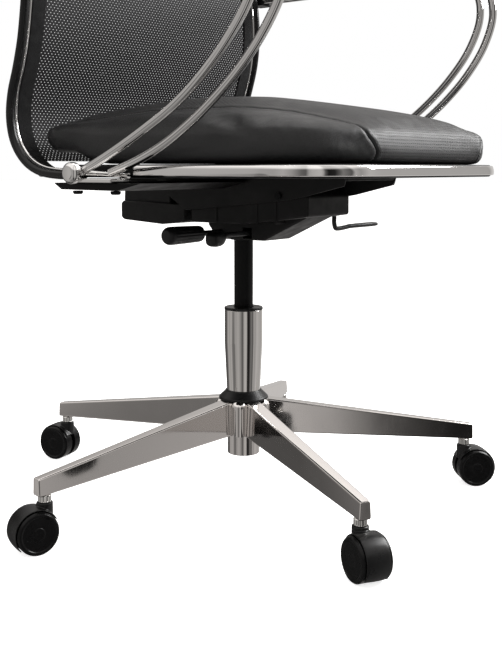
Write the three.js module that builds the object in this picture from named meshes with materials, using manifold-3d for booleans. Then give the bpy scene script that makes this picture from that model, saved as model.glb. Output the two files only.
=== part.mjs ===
// Swivel office chair: five-star base on twin-wheel casters, gas lift, tilting seat, loop arms, mesh back.
// Millimetres, +Z up. The sitter faces -Y and the sitter's right hand is on the -X side.
import * as THREE from 'three';
import { mergeVertices } from 'three/addons/utils/BufferGeometryUtils.js';
import Module from 'manifold-3d';

const wasm = await Module();
wasm.setup();

// ---------------------------------------------------------------- driving dimensions
const GAP = 0.3; // clearance between neighbouring pieces

const COLUMN_X = 13.5; // column axis, measured from the middle of the footprint
const COLUMN_Y = -20;
const DATUM_Z = 5; // every height below is measured from a level this far above the floor

const ARM_ANGLES = [169, 241, 313, 25, 97]; // base arms, degrees from +X
const CASTER_HEADINGS = [160, 240, 313, 32, 101]; // where each caster trails
const STEM_RADIUS = 340; // column axis to caster stem
const ARM_END_RADIUS = 352;
const ARM_ROOT_RADIUS = 18;
const ARM_ROOT = { width: 26, bottom: 88.5, top: 140 };
const ARM_END = { width: 16.5, bottom: 66, top: 88.6 };
const HUB_RADIUS = 30;
const HUB_BOTTOM = 88;
const HUB_TOP = 137;
const HUB_RING = { radius: 24, bore: 20.5, bottom: 54.5 };
const TONGUE = { radius: 13.5, centre: 29.5, top: 141 };
const COLLAR = { radius: 37, top: 151 };

const WHEEL_RADIUS = 27.5;
const AXLE_Z = WHEEL_RADIUS - DATUM_Z;
const WHEEL_INNER_FACE = 4.2;
const WHEEL_OUTER_FACE = 21;
const AXLE_RADIUS = 3;
const TRAIL = 15.5;
const HOOD_RADIUS = 30.4;
const NECK_RADIUS = 10.5;
const NECK_TOP = 57;
const PIN_FOOT = 47.2;
const SOCKET_RADIUS = 8.5;
const PIN_RADIUS = 5;
const PIN_TOP = 82;

const TUBE_TOP = { radius: 28.3, z: 270.7 };
const TUBE_TAPER_Z = 222;
const TUBE_AT_COLLAR = { radius: 25, z: 151 };
const TUBE_FOOT = { radius: 21.5, z: 91 };
const GAS_RADIUS = 14;
const GAS_BOTTOM = 200;
const GAS_TOP = 392;

const HOUSING_HALF = 54;
const HUB_BOSS_RADIUS = 20;
const TILT_PIVOT = { y: -110, z: 441 };
const TILT_AXLE_RADIUS = 5;
const PLATE_HALF = 68;
const PLATE_WALL = 3;
const PLATE_BOTTOM = 461.7;
const PLATE_TOP = 466;

const SEAT_HALF = 256; // outer faces of the chrome trim
const SEAT_FRONT = -313;
const SEAT_CORNER = 105;
const TRIM = { bottom: 468.5, top: 481.5, thickness: 4, rear: -21 };
const PAN = { bottom: 466.3, top: 482.8, rear: 118 };
const CUSHION = { half: 254, front: -313, rear: 176, bottom: 483.2, edge: 507, crown: 581 };

const ARM_OUTER_X = 285;
const ARM_INNER_X = 270;
const ARM_TUBE_RADIUS = 5.7;
const ARM_RUN_Z = 772; // height of the level stretch under the arm pad
const ARM_REAR_Y = 158;
const PAD = { width: 55, front: -214, rear: 50, bottom: 779.2, top: 803 };
const CAP = { y: 46, z: 472, radius: 13.8, inner: 291.5, outer: 305 };

const BACK_TUBE_RADIUS = 6.2;
const BACK_TRIM_RADIUS = 1.9;
const BACK_TRIM_INSET = 9.2;
const BACK_MESH_INSET = 12;
const BACK_MESH_THICKNESS = 3;
const BACK_HALF_LOW = 262;
const BACK_HALF_HIGH = 232;
const BACK_CORNER = 90;
const BACK_MESH_START = 110; // along the side curve, just past the crossbar
const CROSSBAR = { y: 150, z: 472.6 };

// ---------------------------------------------------------------- materials
const chrome = { color: 0xc9c6c2, roughness: 0.08, metalness: 1 };
const steelBlack = { color: 0x161616, roughness: 0.45, metalness: 0.6 };
const plasticBlack = { color: 0x141414, roughness: 0.5, metalness: 0 };
const leatherBlack = { color: 0x1d1d1d, roughness: 0.55, metalness: 0 };
const meshBlack = { color: 0x121212, roughness: 0.8, metalness: 0 };
const steelBright = { color: 0xa8a8a8, roughness: 0.3, metalness: 1 };

// ---------------------------------------------------------------- solid helpers
function toManifold(geometry) {
  const bare = geometry.clone();
  bare.deleteAttribute('normal');
  bare.deleteAttribute('uv');
  const merged = mergeVertices(bare, 1e-4);
  return new wasm.Manifold(new wasm.Mesh({
    numProp: 3,
    vertProperties: new Float32Array(merged.attributes.position.array),
    triVerts: new Uint32Array(merged.index.array),
  }));
}

function toGeometry(manifold) {
  const mesh = manifold.getMesh();
  const geometry = new THREE.BufferGeometry();
  geometry.setAttribute('position', new THREE.BufferAttribute(mesh.vertProperties, 3));
  geometry.setIndex(new THREE.BufferAttribute(mesh.triVerts, 1));
  geometry.computeVertexNormals();
  return geometry;
}

function join(...geometries) {
  return toGeometry(geometries.map(toManifold).reduce((sum, next) => sum.add(next)));
}

function cut(geometry, ...tools) {
  return toGeometry(tools.map(toManifold).reduce((rest, tool) => rest.subtract(tool), toManifold(geometry)));
}

// Revolves [radius, height] pairs about +Z.
function turned(profile, segments = 20) {
  const points = profile.map(([radius, height]) => new THREE.Vector2(radius, height));
  return new THREE.LatheGeometry(points, segments).rotateX(Math.PI / 2);
}

function ring(inner, outer, bottom, top, segments = 16) {
  return turned([[inner, bottom], [outer, bottom], [outer, top], [inner, top], [inner, bottom]], segments);
}

function rod(radius, bottom, top, segments = 12) {
  return turned([[0, bottom], [radius, bottom], [radius, top], [0, top]], segments);
}

// A rod along X from x0 to x1.
function crossRod(radius, x0, x1, y, z, segments = 12) {
  return rod(radius, x0, x1, segments).rotateY(Math.PI / 2).translate(0, y, z);
}

function box(x0, x1, y0, y1, z0, z1) {
  const block = new THREE.BoxGeometry(x1 - x0, y1 - y0, z1 - z0);
  return block.translate((x0 + x1) / 2, (y0 + y1) / 2, (z0 + z1) / 2);
}

// A box on one side of the chair, between two distances from its middle.
function sideBox(side, inner, outer, ...rest) {
  return side > 0 ? box(inner, outer, ...rest) : box(-outer, -inner, ...rest);
}

// Extrudes an outline of [y, z] pairs along X, from x0 to x1.
function sideProfile(outline, x0, x1) {
  const shape = new THREE.Shape(outline.map(([y, z]) => new THREE.Vector2(y, z)));
  const solid = new THREE.ExtrudeGeometry(shape, { depth: x1 - x0, bevelEnabled: false });
  const axes = new THREE.Matrix4().makeBasis(
    new THREE.Vector3(0, 1, 0), new THREE.Vector3(0, 0, 1), new THREE.Vector3(1, 0, 0));
  return solid.applyMatrix4(axes).translate(x0, 0, 0);
}

// Extrudes a plan-view shape upwards.
function slab(shape, bottom, top, curveSegments = 6) {
  const solid = new THREE.ExtrudeGeometry(shape, { depth: top - bottom, bevelEnabled: false, curveSegments });
  return solid.translate(0, 0, bottom);
}

// A round bar along a smooth curve through the points.
function bentTube(points, radius, steps, sides = 8) {
  const section = new THREE.Shape();
  for (let i = 0; i < sides; i++) {
    const turn = (i / sides) * 2 * Math.PI;
    const [x, y] = [radius * Math.cos(turn), radius * Math.sin(turn)];
    if (i === 0) section.moveTo(x, y);
    else section.lineTo(x, y);
  }
  const path = new THREE.CatmullRomCurve3(points, false, 'centripetal');
  return new THREE.ExtrudeGeometry(section, { steps, extrudePath: path, bevelEnabled: false });
}

// Skins a stack of equal-length loops of points and closes both ends with fans.
function loft(loops) {
  const count = loops[0].length;
  const positions = loops.flat().flatMap((point) => [point.x, point.y, point.z]);
  const index = [];
  for (let row = 0; row + 1 < loops.length; row++) {
    for (let i = 0; i < count; i++) {
      const a = row * count + i;
      const b = row * count + (i + 1) % count;
      index.push(a, b, b + count, a, b + count, a + count);
    }
  }
  const last = (loops.length - 1) * count;
  for (let i = 1; i + 1 < count; i++) {
    index.push(0, i + 1, i, last, last + i, last + i + 1);
  }
  const geometry = new THREE.BufferGeometry();
  geometry.setAttribute('position', new THREE.Float32BufferAttribute(positions, 3));
  geometry.setIndex(index);
  return geometry;
}

// Plan outline of the seat: round front corners, inset evenly by the given amount.
function seatOutline(inset, rear, rearCorner) {
  const half = SEAT_HALF - inset;
  const front = SEAT_FRONT + inset;
  const corner = SEAT_CORNER - inset;
  const shape = new THREE.Shape();
  shape.moveTo(-half, rear - rearCorner);
  shape.lineTo(-half, front + corner);
  shape.absarc(-half + corner, front + corner, corner, Math.PI, 1.5 * Math.PI, false);
  shape.absarc(half - corner, front + corner, corner, 1.5 * Math.PI, 2 * Math.PI, false);
  shape.lineTo(half, rear - rearCorner);
  shape.absarc(half - rearCorner, rear - rearCorner, rearCorner, 0, 0.5 * Math.PI, false);
  shape.absarc(-half + rearCorner, rear - rearCorner, rearCorner, 0.5 * Math.PI, Math.PI, false);
  return shape;
}

function addPiece(group, name, geometry, look) {
  const piece = new THREE.Mesh(geometry, new THREE.MeshStandardMaterial(look));
  piece.name = name;
  group.add(piece);
  return piece;
}

// ---------------------------------------------------------------- base
function baseArm(angle) {
  const stations = [[ARM_ROOT_RADIUS, ARM_ROOT], [ARM_END_RADIUS, ARM_END]];
  const topBevel = 2;
  const footBevel = 0.8;
  const draft = 1.2; // the sides lean in towards the top
  const loops = stations.map(([radius, { width, bottom, top }]) => {
    const half = width / 2;
    return [
      [half - footBevel, bottom], [half, bottom + footBevel],
      [half - draft, top - topBevel], [half - draft - topBevel, top],
      [-half + draft + topBevel, top], [-half + draft, top - topBevel],
      [-half, bottom + footBevel], [-half + footBevel, bottom],
    ].map(([across, z]) => new THREE.Vector3(radius, across, z));
  });
  return loft(loops).rotateZ(THREE.MathUtils.degToRad(angle));
}

function tongue(angle) {
  const { radius, centre, top } = TONGUE;
  const dome = [];
  const steps = 3;
  for (let i = 0; i <= steps; i++) {
    const turn = (i / steps) * Math.PI / 2;
    dome.push([i === steps ? 0 : radius * Math.cos(turn), top - radius + radius * Math.sin(turn)]);
  }
  return turned([[0, HUB_BOTTOM], [radius, HUB_BOTTOM], ...dome], 10)
    .translate(centre, 0, 0)
    .rotateZ(THREE.MathUtils.degToRad(angle));
}

function stemPosition(angle) {
  const turn = THREE.MathUtils.degToRad(angle);
  return [STEM_RADIUS * Math.cos(turn), STEM_RADIUS * Math.sin(turn)];
}

function starBase() {
  const halfStep = 180 / ARM_ANGLES.length;
  const body = join(
    rod(HUB_RADIUS, HUB_BOTTOM, HUB_TOP, 24),
    rod(HUB_RING.radius, HUB_RING.bottom, HUB_BOTTOM + 1, 24),
    ...ARM_ANGLES.map(baseArm),
    ...ARM_ANGLES.map((angle) => tongue(angle + halfStep)),
  );
  const columnBore = turned([
    [0, HUB_RING.bottom - 1], [HUB_RING.bore, HUB_RING.bottom - 1],
    [HUB_RING.bore, TUBE_FOOT.z - GAP], [TUBE_FOOT.radius + GAP, TUBE_FOOT.z - GAP],
    [TUBE_AT_COLLAR.radius + GAP, TUBE_AT_COLLAR.z], [0, TUBE_AT_COLLAR.z],
  ]);
  const collarSeat = rod(COLLAR.radius + GAP, HUB_TOP, TUBE_AT_COLLAR.z, 24);
  const pinBores = ARM_ANGLES.map((angle) => {
    const [x, y] = stemPosition(angle);
    return rod(PIN_RADIUS + GAP, ARM_END.bottom - 2, PIN_TOP + GAP).translate(x, y, 0);
  });
  return cut(body, columnBore, collarSeat, ...pinBores);
}

function hubCollar() {
  const bottom = HUB_TOP + GAP;
  const slope = (TUBE_AT_COLLAR.radius - TUBE_FOOT.radius) / (TUBE_AT_COLLAR.z - TUBE_FOOT.z);
  const bore = (z) => TUBE_AT_COLLAR.radius + GAP - slope * (TUBE_AT_COLLAR.z - z);
  return turned([
    [bore(bottom), bottom], [COLLAR.radius, bottom], [COLLAR.radius - 1, bottom + 2.5],
    [bore(COLLAR.top) + 1.2, COLLAR.top], [bore(COLLAR.top), COLLAR.top], [bore(bottom), bottom],
  ]);
}

function columnTube() {
  const wall = 2.6;
  const floor = 5;
  return turned([
    [0, TUBE_FOOT.z], [TUBE_FOOT.radius, TUBE_FOOT.z], [TUBE_AT_COLLAR.radius, TUBE_AT_COLLAR.z],
    [TUBE_TOP.radius, TUBE_TAPER_Z], [TUBE_TOP.radius, TUBE_TOP.z],
    [TUBE_TOP.radius - wall, TUBE_TOP.z], [TUBE_TOP.radius - wall, TUBE_TAPER_Z],
    [TUBE_AT_COLLAR.radius - wall, TUBE_AT_COLLAR.z], [TUBE_FOOT.radius - wall, TUBE_FOOT.z + floor],
    [0, TUBE_FOOT.z + floor],
  ]);
}

function columnTopBush() {
  const sleeve = TUBE_TOP.radius - 3;
  const bore = GAS_RADIUS + 0.4;
  const top = TUBE_TOP.z + 3.8;
  return turned([
    [bore, TUBE_TAPER_Z + 4], [sleeve, TUBE_TAPER_Z + 4], [sleeve, TUBE_TOP.z + GAP],
    [TUBE_TOP.radius + 0.3, TUBE_TOP.z + GAP], [TUBE_TOP.radius + 0.3, top - 1],
    [TUBE_TOP.radius - 0.7, top], [bore, top], [bore, TUBE_TAPER_Z + 4],
  ]);
}

// ---------------------------------------------------------------- casters, stem on Z and trail along +X
function casterWheel() {
  const rim = WHEEL_OUTER_FACE;
  const dish = rim - 1.4;
  const boreDepth = rim - 5;
  return turned([
    [0, boreDepth], [AXLE_RADIUS + GAP, boreDepth], [AXLE_RADIUS + GAP, WHEEL_INNER_FACE],
    [WHEEL_RADIUS, WHEEL_INNER_FACE], [WHEEL_RADIUS, rim - 3], [WHEEL_RADIUS - 2, rim],
    [WHEEL_RADIUS - 4.6, rim], [WHEEL_RADIUS - 5.8, dish], [0, dish],
  ], 20);
}

function casterHood() {
  const webHalf = WHEEL_INNER_FACE - 0.8;
  const coverHalf = 16.5;
  const coverInner = WHEEL_RADIUS + 0.9;
  const hubDisc = 21;
  const [rear, front] = [-42, 152].map(THREE.MathUtils.degToRad);
  const cover = new THREE.Shape();
  cover.absarc(0, 0, HOOD_RADIUS, rear, front, false);
  cover.absarc(0, 0, coverInner, front, rear, true);
  const web = new THREE.Shape();
  web.absarc(0, 0, coverInner + 0.5, rear, front, false);
  web.absarc(0, 0, hubDisc, front, rear + 2 * Math.PI, false);
  // Extrudes a shape drawn in the wheel's plane to both sides of the caster's middle.
  const across = (shape, half) => new THREE.ExtrudeGeometry(
    shape, { depth: 2 * half, bevelEnabled: false, curveSegments: 8 })
    .translate(0, 0, -half)
    .rotateX(Math.PI / 2)
    .translate(TRAIL, 0, AXLE_Z);
  const wheelRoom = [-1, 1].map((side) => rod(coverInner - 0.4, webHalf, coverHalf, 20)
    .rotateX(-side * Math.PI / 2)
    .translate(TRAIL, 0, AXLE_Z));
  const neck = cut(rod(NECK_RADIUS, PIN_FOOT - 2, NECK_TOP, 14), ...wheelRoom);
  const shell = join(across(cover, coverHalf), across(web, webHalf), neck);
  const axleHalf = WHEEL_OUTER_FACE - 5.6;
  const axle = rod(AXLE_RADIUS, -axleHalf, axleHalf).rotateX(Math.PI / 2).translate(TRAIL, 0, AXLE_Z);
  return join(cut(shell, rod(PIN_RADIUS + GAP, PIN_FOOT, NECK_TOP + 1)), axle);
}

function casterStem() {
  const foot = PIN_FOOT + GAP;
  const top = ARM_END.bottom - GAP;
  return turned([
    [0, foot], [PIN_RADIUS, foot], [PIN_RADIUS, NECK_TOP + GAP], [SOCKET_RADIUS, NECK_TOP + GAP],
    [SOCKET_RADIUS, top], [PIN_RADIUS, top], [PIN_RADIUS, PIN_TOP], [0, PIN_TOP],
  ], 12);
}

function caster(number) {
  const group = new THREE.Group();
  const label = `caster_${number + 1}`;
  const [x, y] = stemPosition(ARM_ANGLES[number]);
  group.position.set(x, y, 0);
  group.rotation.z = THREE.MathUtils.degToRad(CASTER_HEADINGS[number]);
  addPiece(group, `${label}_stem`, casterStem(), chrome);
  addPiece(group, `${label}_hood`, casterHood(), plasticBlack);
  for (const [name, side] of [['left', 1], ['right', -1]]) {
    const wheel = addPiece(group, `${label}_wheel_${name}`, casterWheel(), plasticBlack);
    wheel.position.set(TRAIL, 0, AXLE_Z);
    wheel.rotation.x = -side * Math.PI / 2;
  }
  return group;
}

// ---------------------------------------------------------------- gas lift
function gasLift() {
  const group = new THREE.Group();
  const floor = TUBE_FOOT.z + 5 + GAP;
  const rodTop = 270;
  addPiece(group, 'lift_rod', rod(5, floor, rodTop), steelBright);
  addPiece(group, 'thrust_bearing', ring(5 + GAP, 15, floor, floor + 6.5), steelBright);
  addPiece(group, 'gas_cylinder', turned([
    [0, GAS_TOP - 26], [6.5, GAS_TOP - 26], [6.5, GAS_BOTTOM], [GAS_RADIUS, GAS_BOTTOM],
    [GAS_RADIUS, GAS_TOP - 1.5], [GAS_RADIUS - 1.5, GAS_TOP], [3.5, GAS_TOP], [3.5, GAS_TOP - 14],
    [0, GAS_TOP - 14],
  ]), steelBlack);
  addPiece(group, 'valve_pin', rod(3, GAS_TOP - 10, GAS_TOP + 7), steelBright);
  return group;
}

// ---------------------------------------------------------------- tilt mechanism
const HEIGHT_LEVER = { y: -32, z: 386, tip: 120 };
const TENSION_HANDLE = { y: 17, z: 386, tip: 153 };
const TILT_LOCK = { y: -105, z: 423, drop: 34, elbow: 82, tip: 205 };

function mechanismHousing() {
  const bodyProfile = [[56, 400], [-40, 400], [-120, 409], [-148, 413], [-148, 440], [-136, 449],
    [-96, 450], [56, 419]];
  const keelProfile = [[24, 376], [-60, 376], [-134, 411], [-134, 425], [40, 410], [40, 396]];
  const body = join(
    sideProfile(bodyProfile, -HOUSING_HALF, HOUSING_HALF),
    sideProfile(keelProfile, -34, 34),
    rod(HUB_BOSS_RADIUS, 374, 405, 24),
  );
  const gasBore = rod(GAS_RADIUS + GAP, 370, GAS_TOP + GAP, 24);
  const valveBore = rod(4, GAS_TOP - 2, 440);
  const axleBore = crossRod(TILT_AXLE_RADIUS + GAP, -60, 60, TILT_PIVOT.y, TILT_PIVOT.z);
  const { y, z } = HEIGHT_LEVER;
  const heightPocket = box(-40, -10, y - 8, y + 8, z - 8, z + 8);
  const tensionBore = crossRod(4.4, -40, -16, TENSION_HANDLE.y, TENSION_HANDLE.z);
  const lockBore = crossRod(4, 38, 60, TILT_LOCK.y, TILT_LOCK.z);
  return cut(body, gasBore, valveBore, axleBore, heightPocket, tensionBore, lockBore);
}

function heightLever() {
  const { y, z, tip } = HEIGHT_LEVER;
  const paddle = new THREE.Shape();
  paddle.absarc(-tip + 11, y, 11, 0.5 * Math.PI, 1.5 * Math.PI, false);
  paddle.lineTo(-tip + 24, y - 9);
  paddle.lineTo(-tip + 32, y - 5);
  paddle.lineTo(-tip + 32, y + 5);
  paddle.lineTo(-tip + 24, y + 9);
  return join(
    crossRod(3.6, -tip + 20, -14, y, z),
    slab(paddle, z - 15, z + 6),
  );
}

function tensionHandle() {
  const { y, z, tip } = TENSION_HANDLE;
  const grip = turned([
    [0, -tip], [8, -tip], [12, -tip + 3], [12.8, -tip + 7], [11.5, -tip + 72], [7, -tip + 76],
    [4, -tip + 76], [4, -18], [0, -18],
  ], 16);
  return grip.rotateY(Math.PI / 2).translate(0, y, z);
}

function tiltLockLever() {
  const { y, z, drop, elbow, tip } = TILT_LOCK;
  const low = z - drop;
  const bend = 5;
  const crank = bentTube([
    new THREE.Vector3(42, y, z), new THREE.Vector3(elbow - bend, y, z), new THREE.Vector3(elbow, y, z - bend),
    new THREE.Vector3(elbow, y, low + bend), new THREE.Vector3(elbow + bend, y, low),
    new THREE.Vector3(tip - 40, y, low + 4),
  ], 3.4, 16, 6);
  const paddle = new THREE.Shape();
  paddle.moveTo(tip - 78, y - 5);
  paddle.lineTo(tip - 26, y - 7);
  paddle.absarc(tip - 8, y, 8, -0.5 * Math.PI, 0.5 * Math.PI, false);
  paddle.lineTo(tip - 26, y + 7);
  paddle.lineTo(tip - 78, y + 5);
  return join(crank, slab(paddle, low - 1, low + 6));
}

function mechanism() {
  const group = new THREE.Group();
  addPiece(group, 'mechanism_housing', mechanismHousing(), plasticBlack);
  const axleHalf = PLATE_HALF + 3;
  const axle = crossRod(TILT_AXLE_RADIUS, -axleHalf, axleHalf, TILT_PIVOT.y, TILT_PIVOT.z);
  addPiece(group, 'tilt_axle', axle, steelBright);
  addPiece(group, 'height_lever', heightLever(), plasticBlack);
  addPiece(group, 'tension_handle', tensionHandle(), plasticBlack);
  addPiece(group, 'tilt_lock_lever', tiltLockLever(), plasticBlack);
  return group;
}

// ---------------------------------------------------------------- seat
function seatPlate() {
  const flange = [[112, PLATE_TOP], [98, 446], [55, 418], [-120, 435], [-150, 440], [-212, 455],
    [-215, PLATE_TOP]];
  const inner = PLATE_HALF - PLATE_WALL;
  const body = join(
    box(-PLATE_HALF, PLATE_HALF, -214, 190, PLATE_BOTTOM, PLATE_TOP),
    sideProfile(flange, -PLATE_HALF, -inner),
    sideProfile(flange, inner, PLATE_HALF),
  );
  return cut(body, crossRod(TILT_AXLE_RADIUS + GAP, -80, 80, TILT_PIVOT.y, TILT_PIVOT.z));
}

function backCarrier() {
  const upper = [[98, 424], [192, 428], [190, PLATE_BOTTOM - GAP], [98, PLATE_BOTTOM - GAP]];
  const lower = [[66, 400], [112, 395], [190, 400], [195, 404], [195, 425], [191, 429], [150, 429], [66, 426]];
  return join(sideProfile(upper, -52, 52), sideProfile(lower, -56, 56));
}

function cushionSolid() {
  const { half, front, rear, bottom, edge, crown } = CUSHION;
  const spokes = 36;
  const middle = (front + rear) / 2;
  const depth = (rear - front) / 2;
  const reach = (turn) => {
    // Rounded-rectangle outline as seen from its middle.
    const [c, s] = [Math.abs(Math.cos(turn)), Math.abs(Math.sin(turn))];
    const power = Math.sin(turn) < 0 ? 4.6 : 10;
    return 1 / Math.pow(Math.pow(c / half, power) + Math.pow(s / depth, power), 1 / power);
  };
  const crownAt = (x, y) => {
    const along = (y - middle) / depth;
    const frontFall = 24 * (Math.max(0, 0.35 - along) / 0.88) ** 1.6;
    const rearFall = 50 * Math.max(0, along - 0.35) ** 2;
    const dome = Math.max(0, 1 - Math.abs(x / half) ** 3) ** 0.5;
    return edge + (crown - edge - frontFall - rearFall) * dome;
  };
  // The underside rises towards the rear, clear of the back's lower bend.
  const footAt = (x, y) => bottom + 18 * THREE.MathUtils.smoothstep(y, 50, 120);
  const loopAt = (scale, height) => Array.from({ length: spokes }, (_, i) => {
    const turn = (i / spokes) * 2 * Math.PI;
    const r = reach(turn) * scale;
    const [x, y] = [r * Math.cos(turn), middle + r * Math.sin(turn)];
    return new THREE.Vector3(x, y, height(x, y));
  });
  return loft([
    loopAt(0.955, footAt),
    loopAt(1, (x, y) => footAt(x, y) + 14),
    loopAt(0.985, (x, y) => Math.min(crownAt(x, y) + 4, edge + 16)),
    loopAt(0.9, (x, y) => crownAt(x, y) - 3),
    loopAt(0.65, crownAt),
    loopAt(0.3, crownAt),
  ]);
}

function seatTrim() {
  const { bottom, top, thickness, rear } = TRIM;
  const band = slab(seatOutline(0, 60, 20), bottom, top, 8);
  const room = slab(seatOutline(thickness, 80, 10), bottom - 1, top + 1, 8);
  return cut(band, room, box(-300, 300, rear, 100, bottom - 1, top + 1));
}

// ---------------------------------------------------------------- arms
// Side-view route of each arm tube as [y, z] pairs, from the seat bracket round to the back.
const OUTER_ROUTE = [[40, 474], [14, 485], [-27, 504], [-70, 526], [-109, 548], [-148, 577], [-190, 618],
  [-222, 662], [-238, 708], [-232, 744], [-208, 764], [-170, ARM_RUN_Z], [-60, ARM_RUN_Z], [60, ARM_RUN_Z],
  [ARM_REAR_Y, ARM_RUN_Z]];
const INNER_ROUTE = [[4, 472.5], [-42, 488], [-85, 507], [-125, 531], [-158, 555], [-194, 586], [-226, 621],
  [-253, 664], [-265, 708], [-256, 744], [-228, 765], [-186, ARM_RUN_Z], [-60, ARM_RUN_Z], [60, ARM_RUN_Z],
  [ARM_REAR_Y, ARM_RUN_Z]];

function armTube(route, x) {
  return bentTube(route.map(([y, z]) => new THREE.Vector3(x, y, z)), ARM_TUBE_RADIUS, 30);
}

function armBracket(side) {
  const cap = turned([[0, CAP.inner], [CAP.radius, CAP.inner], [CAP.radius, CAP.outer - 2],
    [CAP.radius - 2, CAP.outer], [0, CAP.outer]], 16)
    .rotateY(side * Math.PI / 2)
    .translate(0, CAP.y, CAP.z);
  const lug = sideBox(side, 270, CAP.inner + 1, CAP.y, CAP.y + 10, 461, 477);
  const sole = sideBox(side, 259, 294, -19, CAP.y + 10, 460, 465.5);
  const upperBar = bentTube([
    new THREE.Vector3(side * 272, CAP.y + 4, 472), new THREE.Vector3(side * 261, 34, 471.4),
    new THREE.Vector3(side * 261, -18, 468.6),
  ], 3.4, 10, 6);
  return join(cap, lug, sole, upperBar);
}

function armPlate(side) {
  const outline = [[95, 459.7], [80, 451], [-17, 450], [-60, 459.7]];
  const [inner, outer] = [PLATE_HALF + GAP, 284];
  return side > 0 ? sideProfile(outline, inner, outer) : sideProfile(outline, -outer, -inner);
}

function bolt(x, y) {
  return turned([[0, 445], [4.5, 445], [6.5, 447], [6.5, 449.6], [0, 449.6]], 12).translate(x, y, 0);
}

function armPad(side) {
  const { width, front, rear, bottom, top } = PAD;
  const middle = side * (ARM_OUTER_X + ARM_INNER_X) / 2;
  const r = width / 2;
  const outline = (inset) => {
    const shape = new THREE.Shape();
    shape.absarc(middle, front + r, r - inset, Math.PI, 2 * Math.PI, false);
    shape.absarc(middle, rear - r, r - inset, 0, Math.PI, false);
    return shape;
  };
  const rings = [[4, bottom], [0, bottom + 6], [0, top - 6], [5, top]];
  return loft(rings.map(([inset, z]) => outline(inset).getPoints(8).slice(0, -1)
    .map((point) => new THREE.Vector3(point.x, point.y, z))));
}

function armClamp(side) {
  return sideBox(side, 263, 294, ARM_REAR_Y + GAP, ARM_REAR_Y + 26, ARM_RUN_Z - 9, ARM_RUN_Z + 9);
}

function armSet(name, side) {
  const group = new THREE.Group();
  addPiece(group, `arm_bracket_${name}`, armBracket(side), chrome);
  addPiece(group, `arm_plate_${name}`, armPlate(side), steelBlack);
  addPiece(group, `arm_tube_outer_${name}`, armTube(OUTER_ROUTE, side * ARM_OUTER_X), chrome);
  addPiece(group, `arm_tube_inner_${name}`, armTube(INNER_ROUTE, side * ARM_INNER_X), chrome);
  addPiece(group, `arm_pad_${name}`, armPad(side), plasticBlack);
  addPiece(group, `arm_clamp_${name}`, armClamp(side), steelBlack);
  addPiece(group, `arm_bolt_front_${name}`, bolt(side * 272, -6), steelBlack);
  addPiece(group, `arm_bolt_rear_${name}`, bolt(side * 272, 61), steelBlack);
  return group;
}

// ---------------------------------------------------------------- back
// The back is flat across and bent along this side-view curve of [y, z] pairs.
const BACK_SIDE = new THREE.CatmullRomCurve3([
  [58, 471], [109, 470], [149, 476], [176, 491], [195, 516], [202, 548], [198, 580], [186, 615], [174, 660],
  [168, 720], [172, 790], [186, 870], [208, 950], [238, 1030], [272, 1110],
].map(([y, z]) => new THREE.Vector3(0, y, z)), false, 'centripetal');
const BACK_LENGTH = BACK_SIDE.getLength();

function onBack(x, along, lift = 0) {
  const t = Math.min(1, Math.max(0, along / BACK_LENGTH));
  const point = BACK_SIDE.getPointAt(t);
  const tangent = BACK_SIDE.getTangentAt(t);
  return new THREE.Vector3(x, point.y - lift * tangent.z, point.z + lift * tangent.y);
}

function backHalf(along) {
  const taper = THREE.MathUtils.smoothstep(along, 300, BACK_LENGTH - BACK_CORNER);
  return THREE.MathUtils.lerp(BACK_HALF_LOW, BACK_HALF_HIGH, taper);
}

// One side of the outline, inset evenly, as [x, along] pairs from a starting length up to the top bar.
function backEdge(inset, start) {
  const cornerRadius = BACK_CORNER - inset;
  const cornerStart = BACK_LENGTH - BACK_CORNER;
  const straightSteps = 16;
  const cornerSteps = 5;
  const edge = [];
  for (let i = 0; i <= straightSteps; i++) {
    const along = THREE.MathUtils.lerp(start, cornerStart, i / straightSteps);
    edge.push([backHalf(along) - inset, along]);
  }
  for (let i = 1; i <= cornerSteps; i++) {
    const turn = (i / cornerSteps) * Math.PI / 2;
    edge.push([BACK_HALF_HIGH - BACK_CORNER + cornerRadius * Math.cos(turn),
      cornerStart + cornerRadius * Math.sin(turn)]);
  }
  return edge;
}

function backLoop(inset, start, radius, sides) {
  const right = backEdge(inset, start).map(([x, along]) => onBack(-x, along));
  const left = backEdge(inset, start).map(([x, along]) => onBack(x, along)).reverse();
  return bentTube([...right, ...left], radius, 62, sides);
}

function backFrame() {
  const crossbar = crossRod(6, -BACK_HALF_LOW + 1, BACK_HALF_LOW - 1, CROSSBAR.y, CROSSBAR.z, 8);
  return join(backLoop(0, 0, BACK_TUBE_RADIUS, 7), crossbar);
}

function backMesh() {
  const across = 4;
  const rows = backEdge(BACK_MESH_INSET, BACK_MESH_START);
  const half = BACK_MESH_THICKNESS / 2;
  const loops = rows.map(([x, along]) => {
    const line = Array.from({ length: across + 1 }, (_, i) => -x + (2 * x * i) / across);
    return [
      ...line.map((at) => onBack(at, along, half)),
      ...line.reverse().map((at) => onBack(at, along, -half)),
    ];
  });
  return loft(loops);
}

// ---------------------------------------------------------------- assembly
const chair = new THREE.Group();
chair.position.set(COLUMN_X, COLUMN_Y, DATUM_Z);

addPiece(chair, 'star_base', starBase(), chrome);
addPiece(chair, 'hub_collar', hubCollar(), plasticBlack);
addPiece(chair, 'column_tube', columnTube(), chrome);
addPiece(chair, 'column_top_bush', columnTopBush(), plasticBlack);
ARM_ANGLES.forEach((_, number) => chair.add(caster(number)));
chair.add(gasLift());
chair.add(mechanism());

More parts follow.
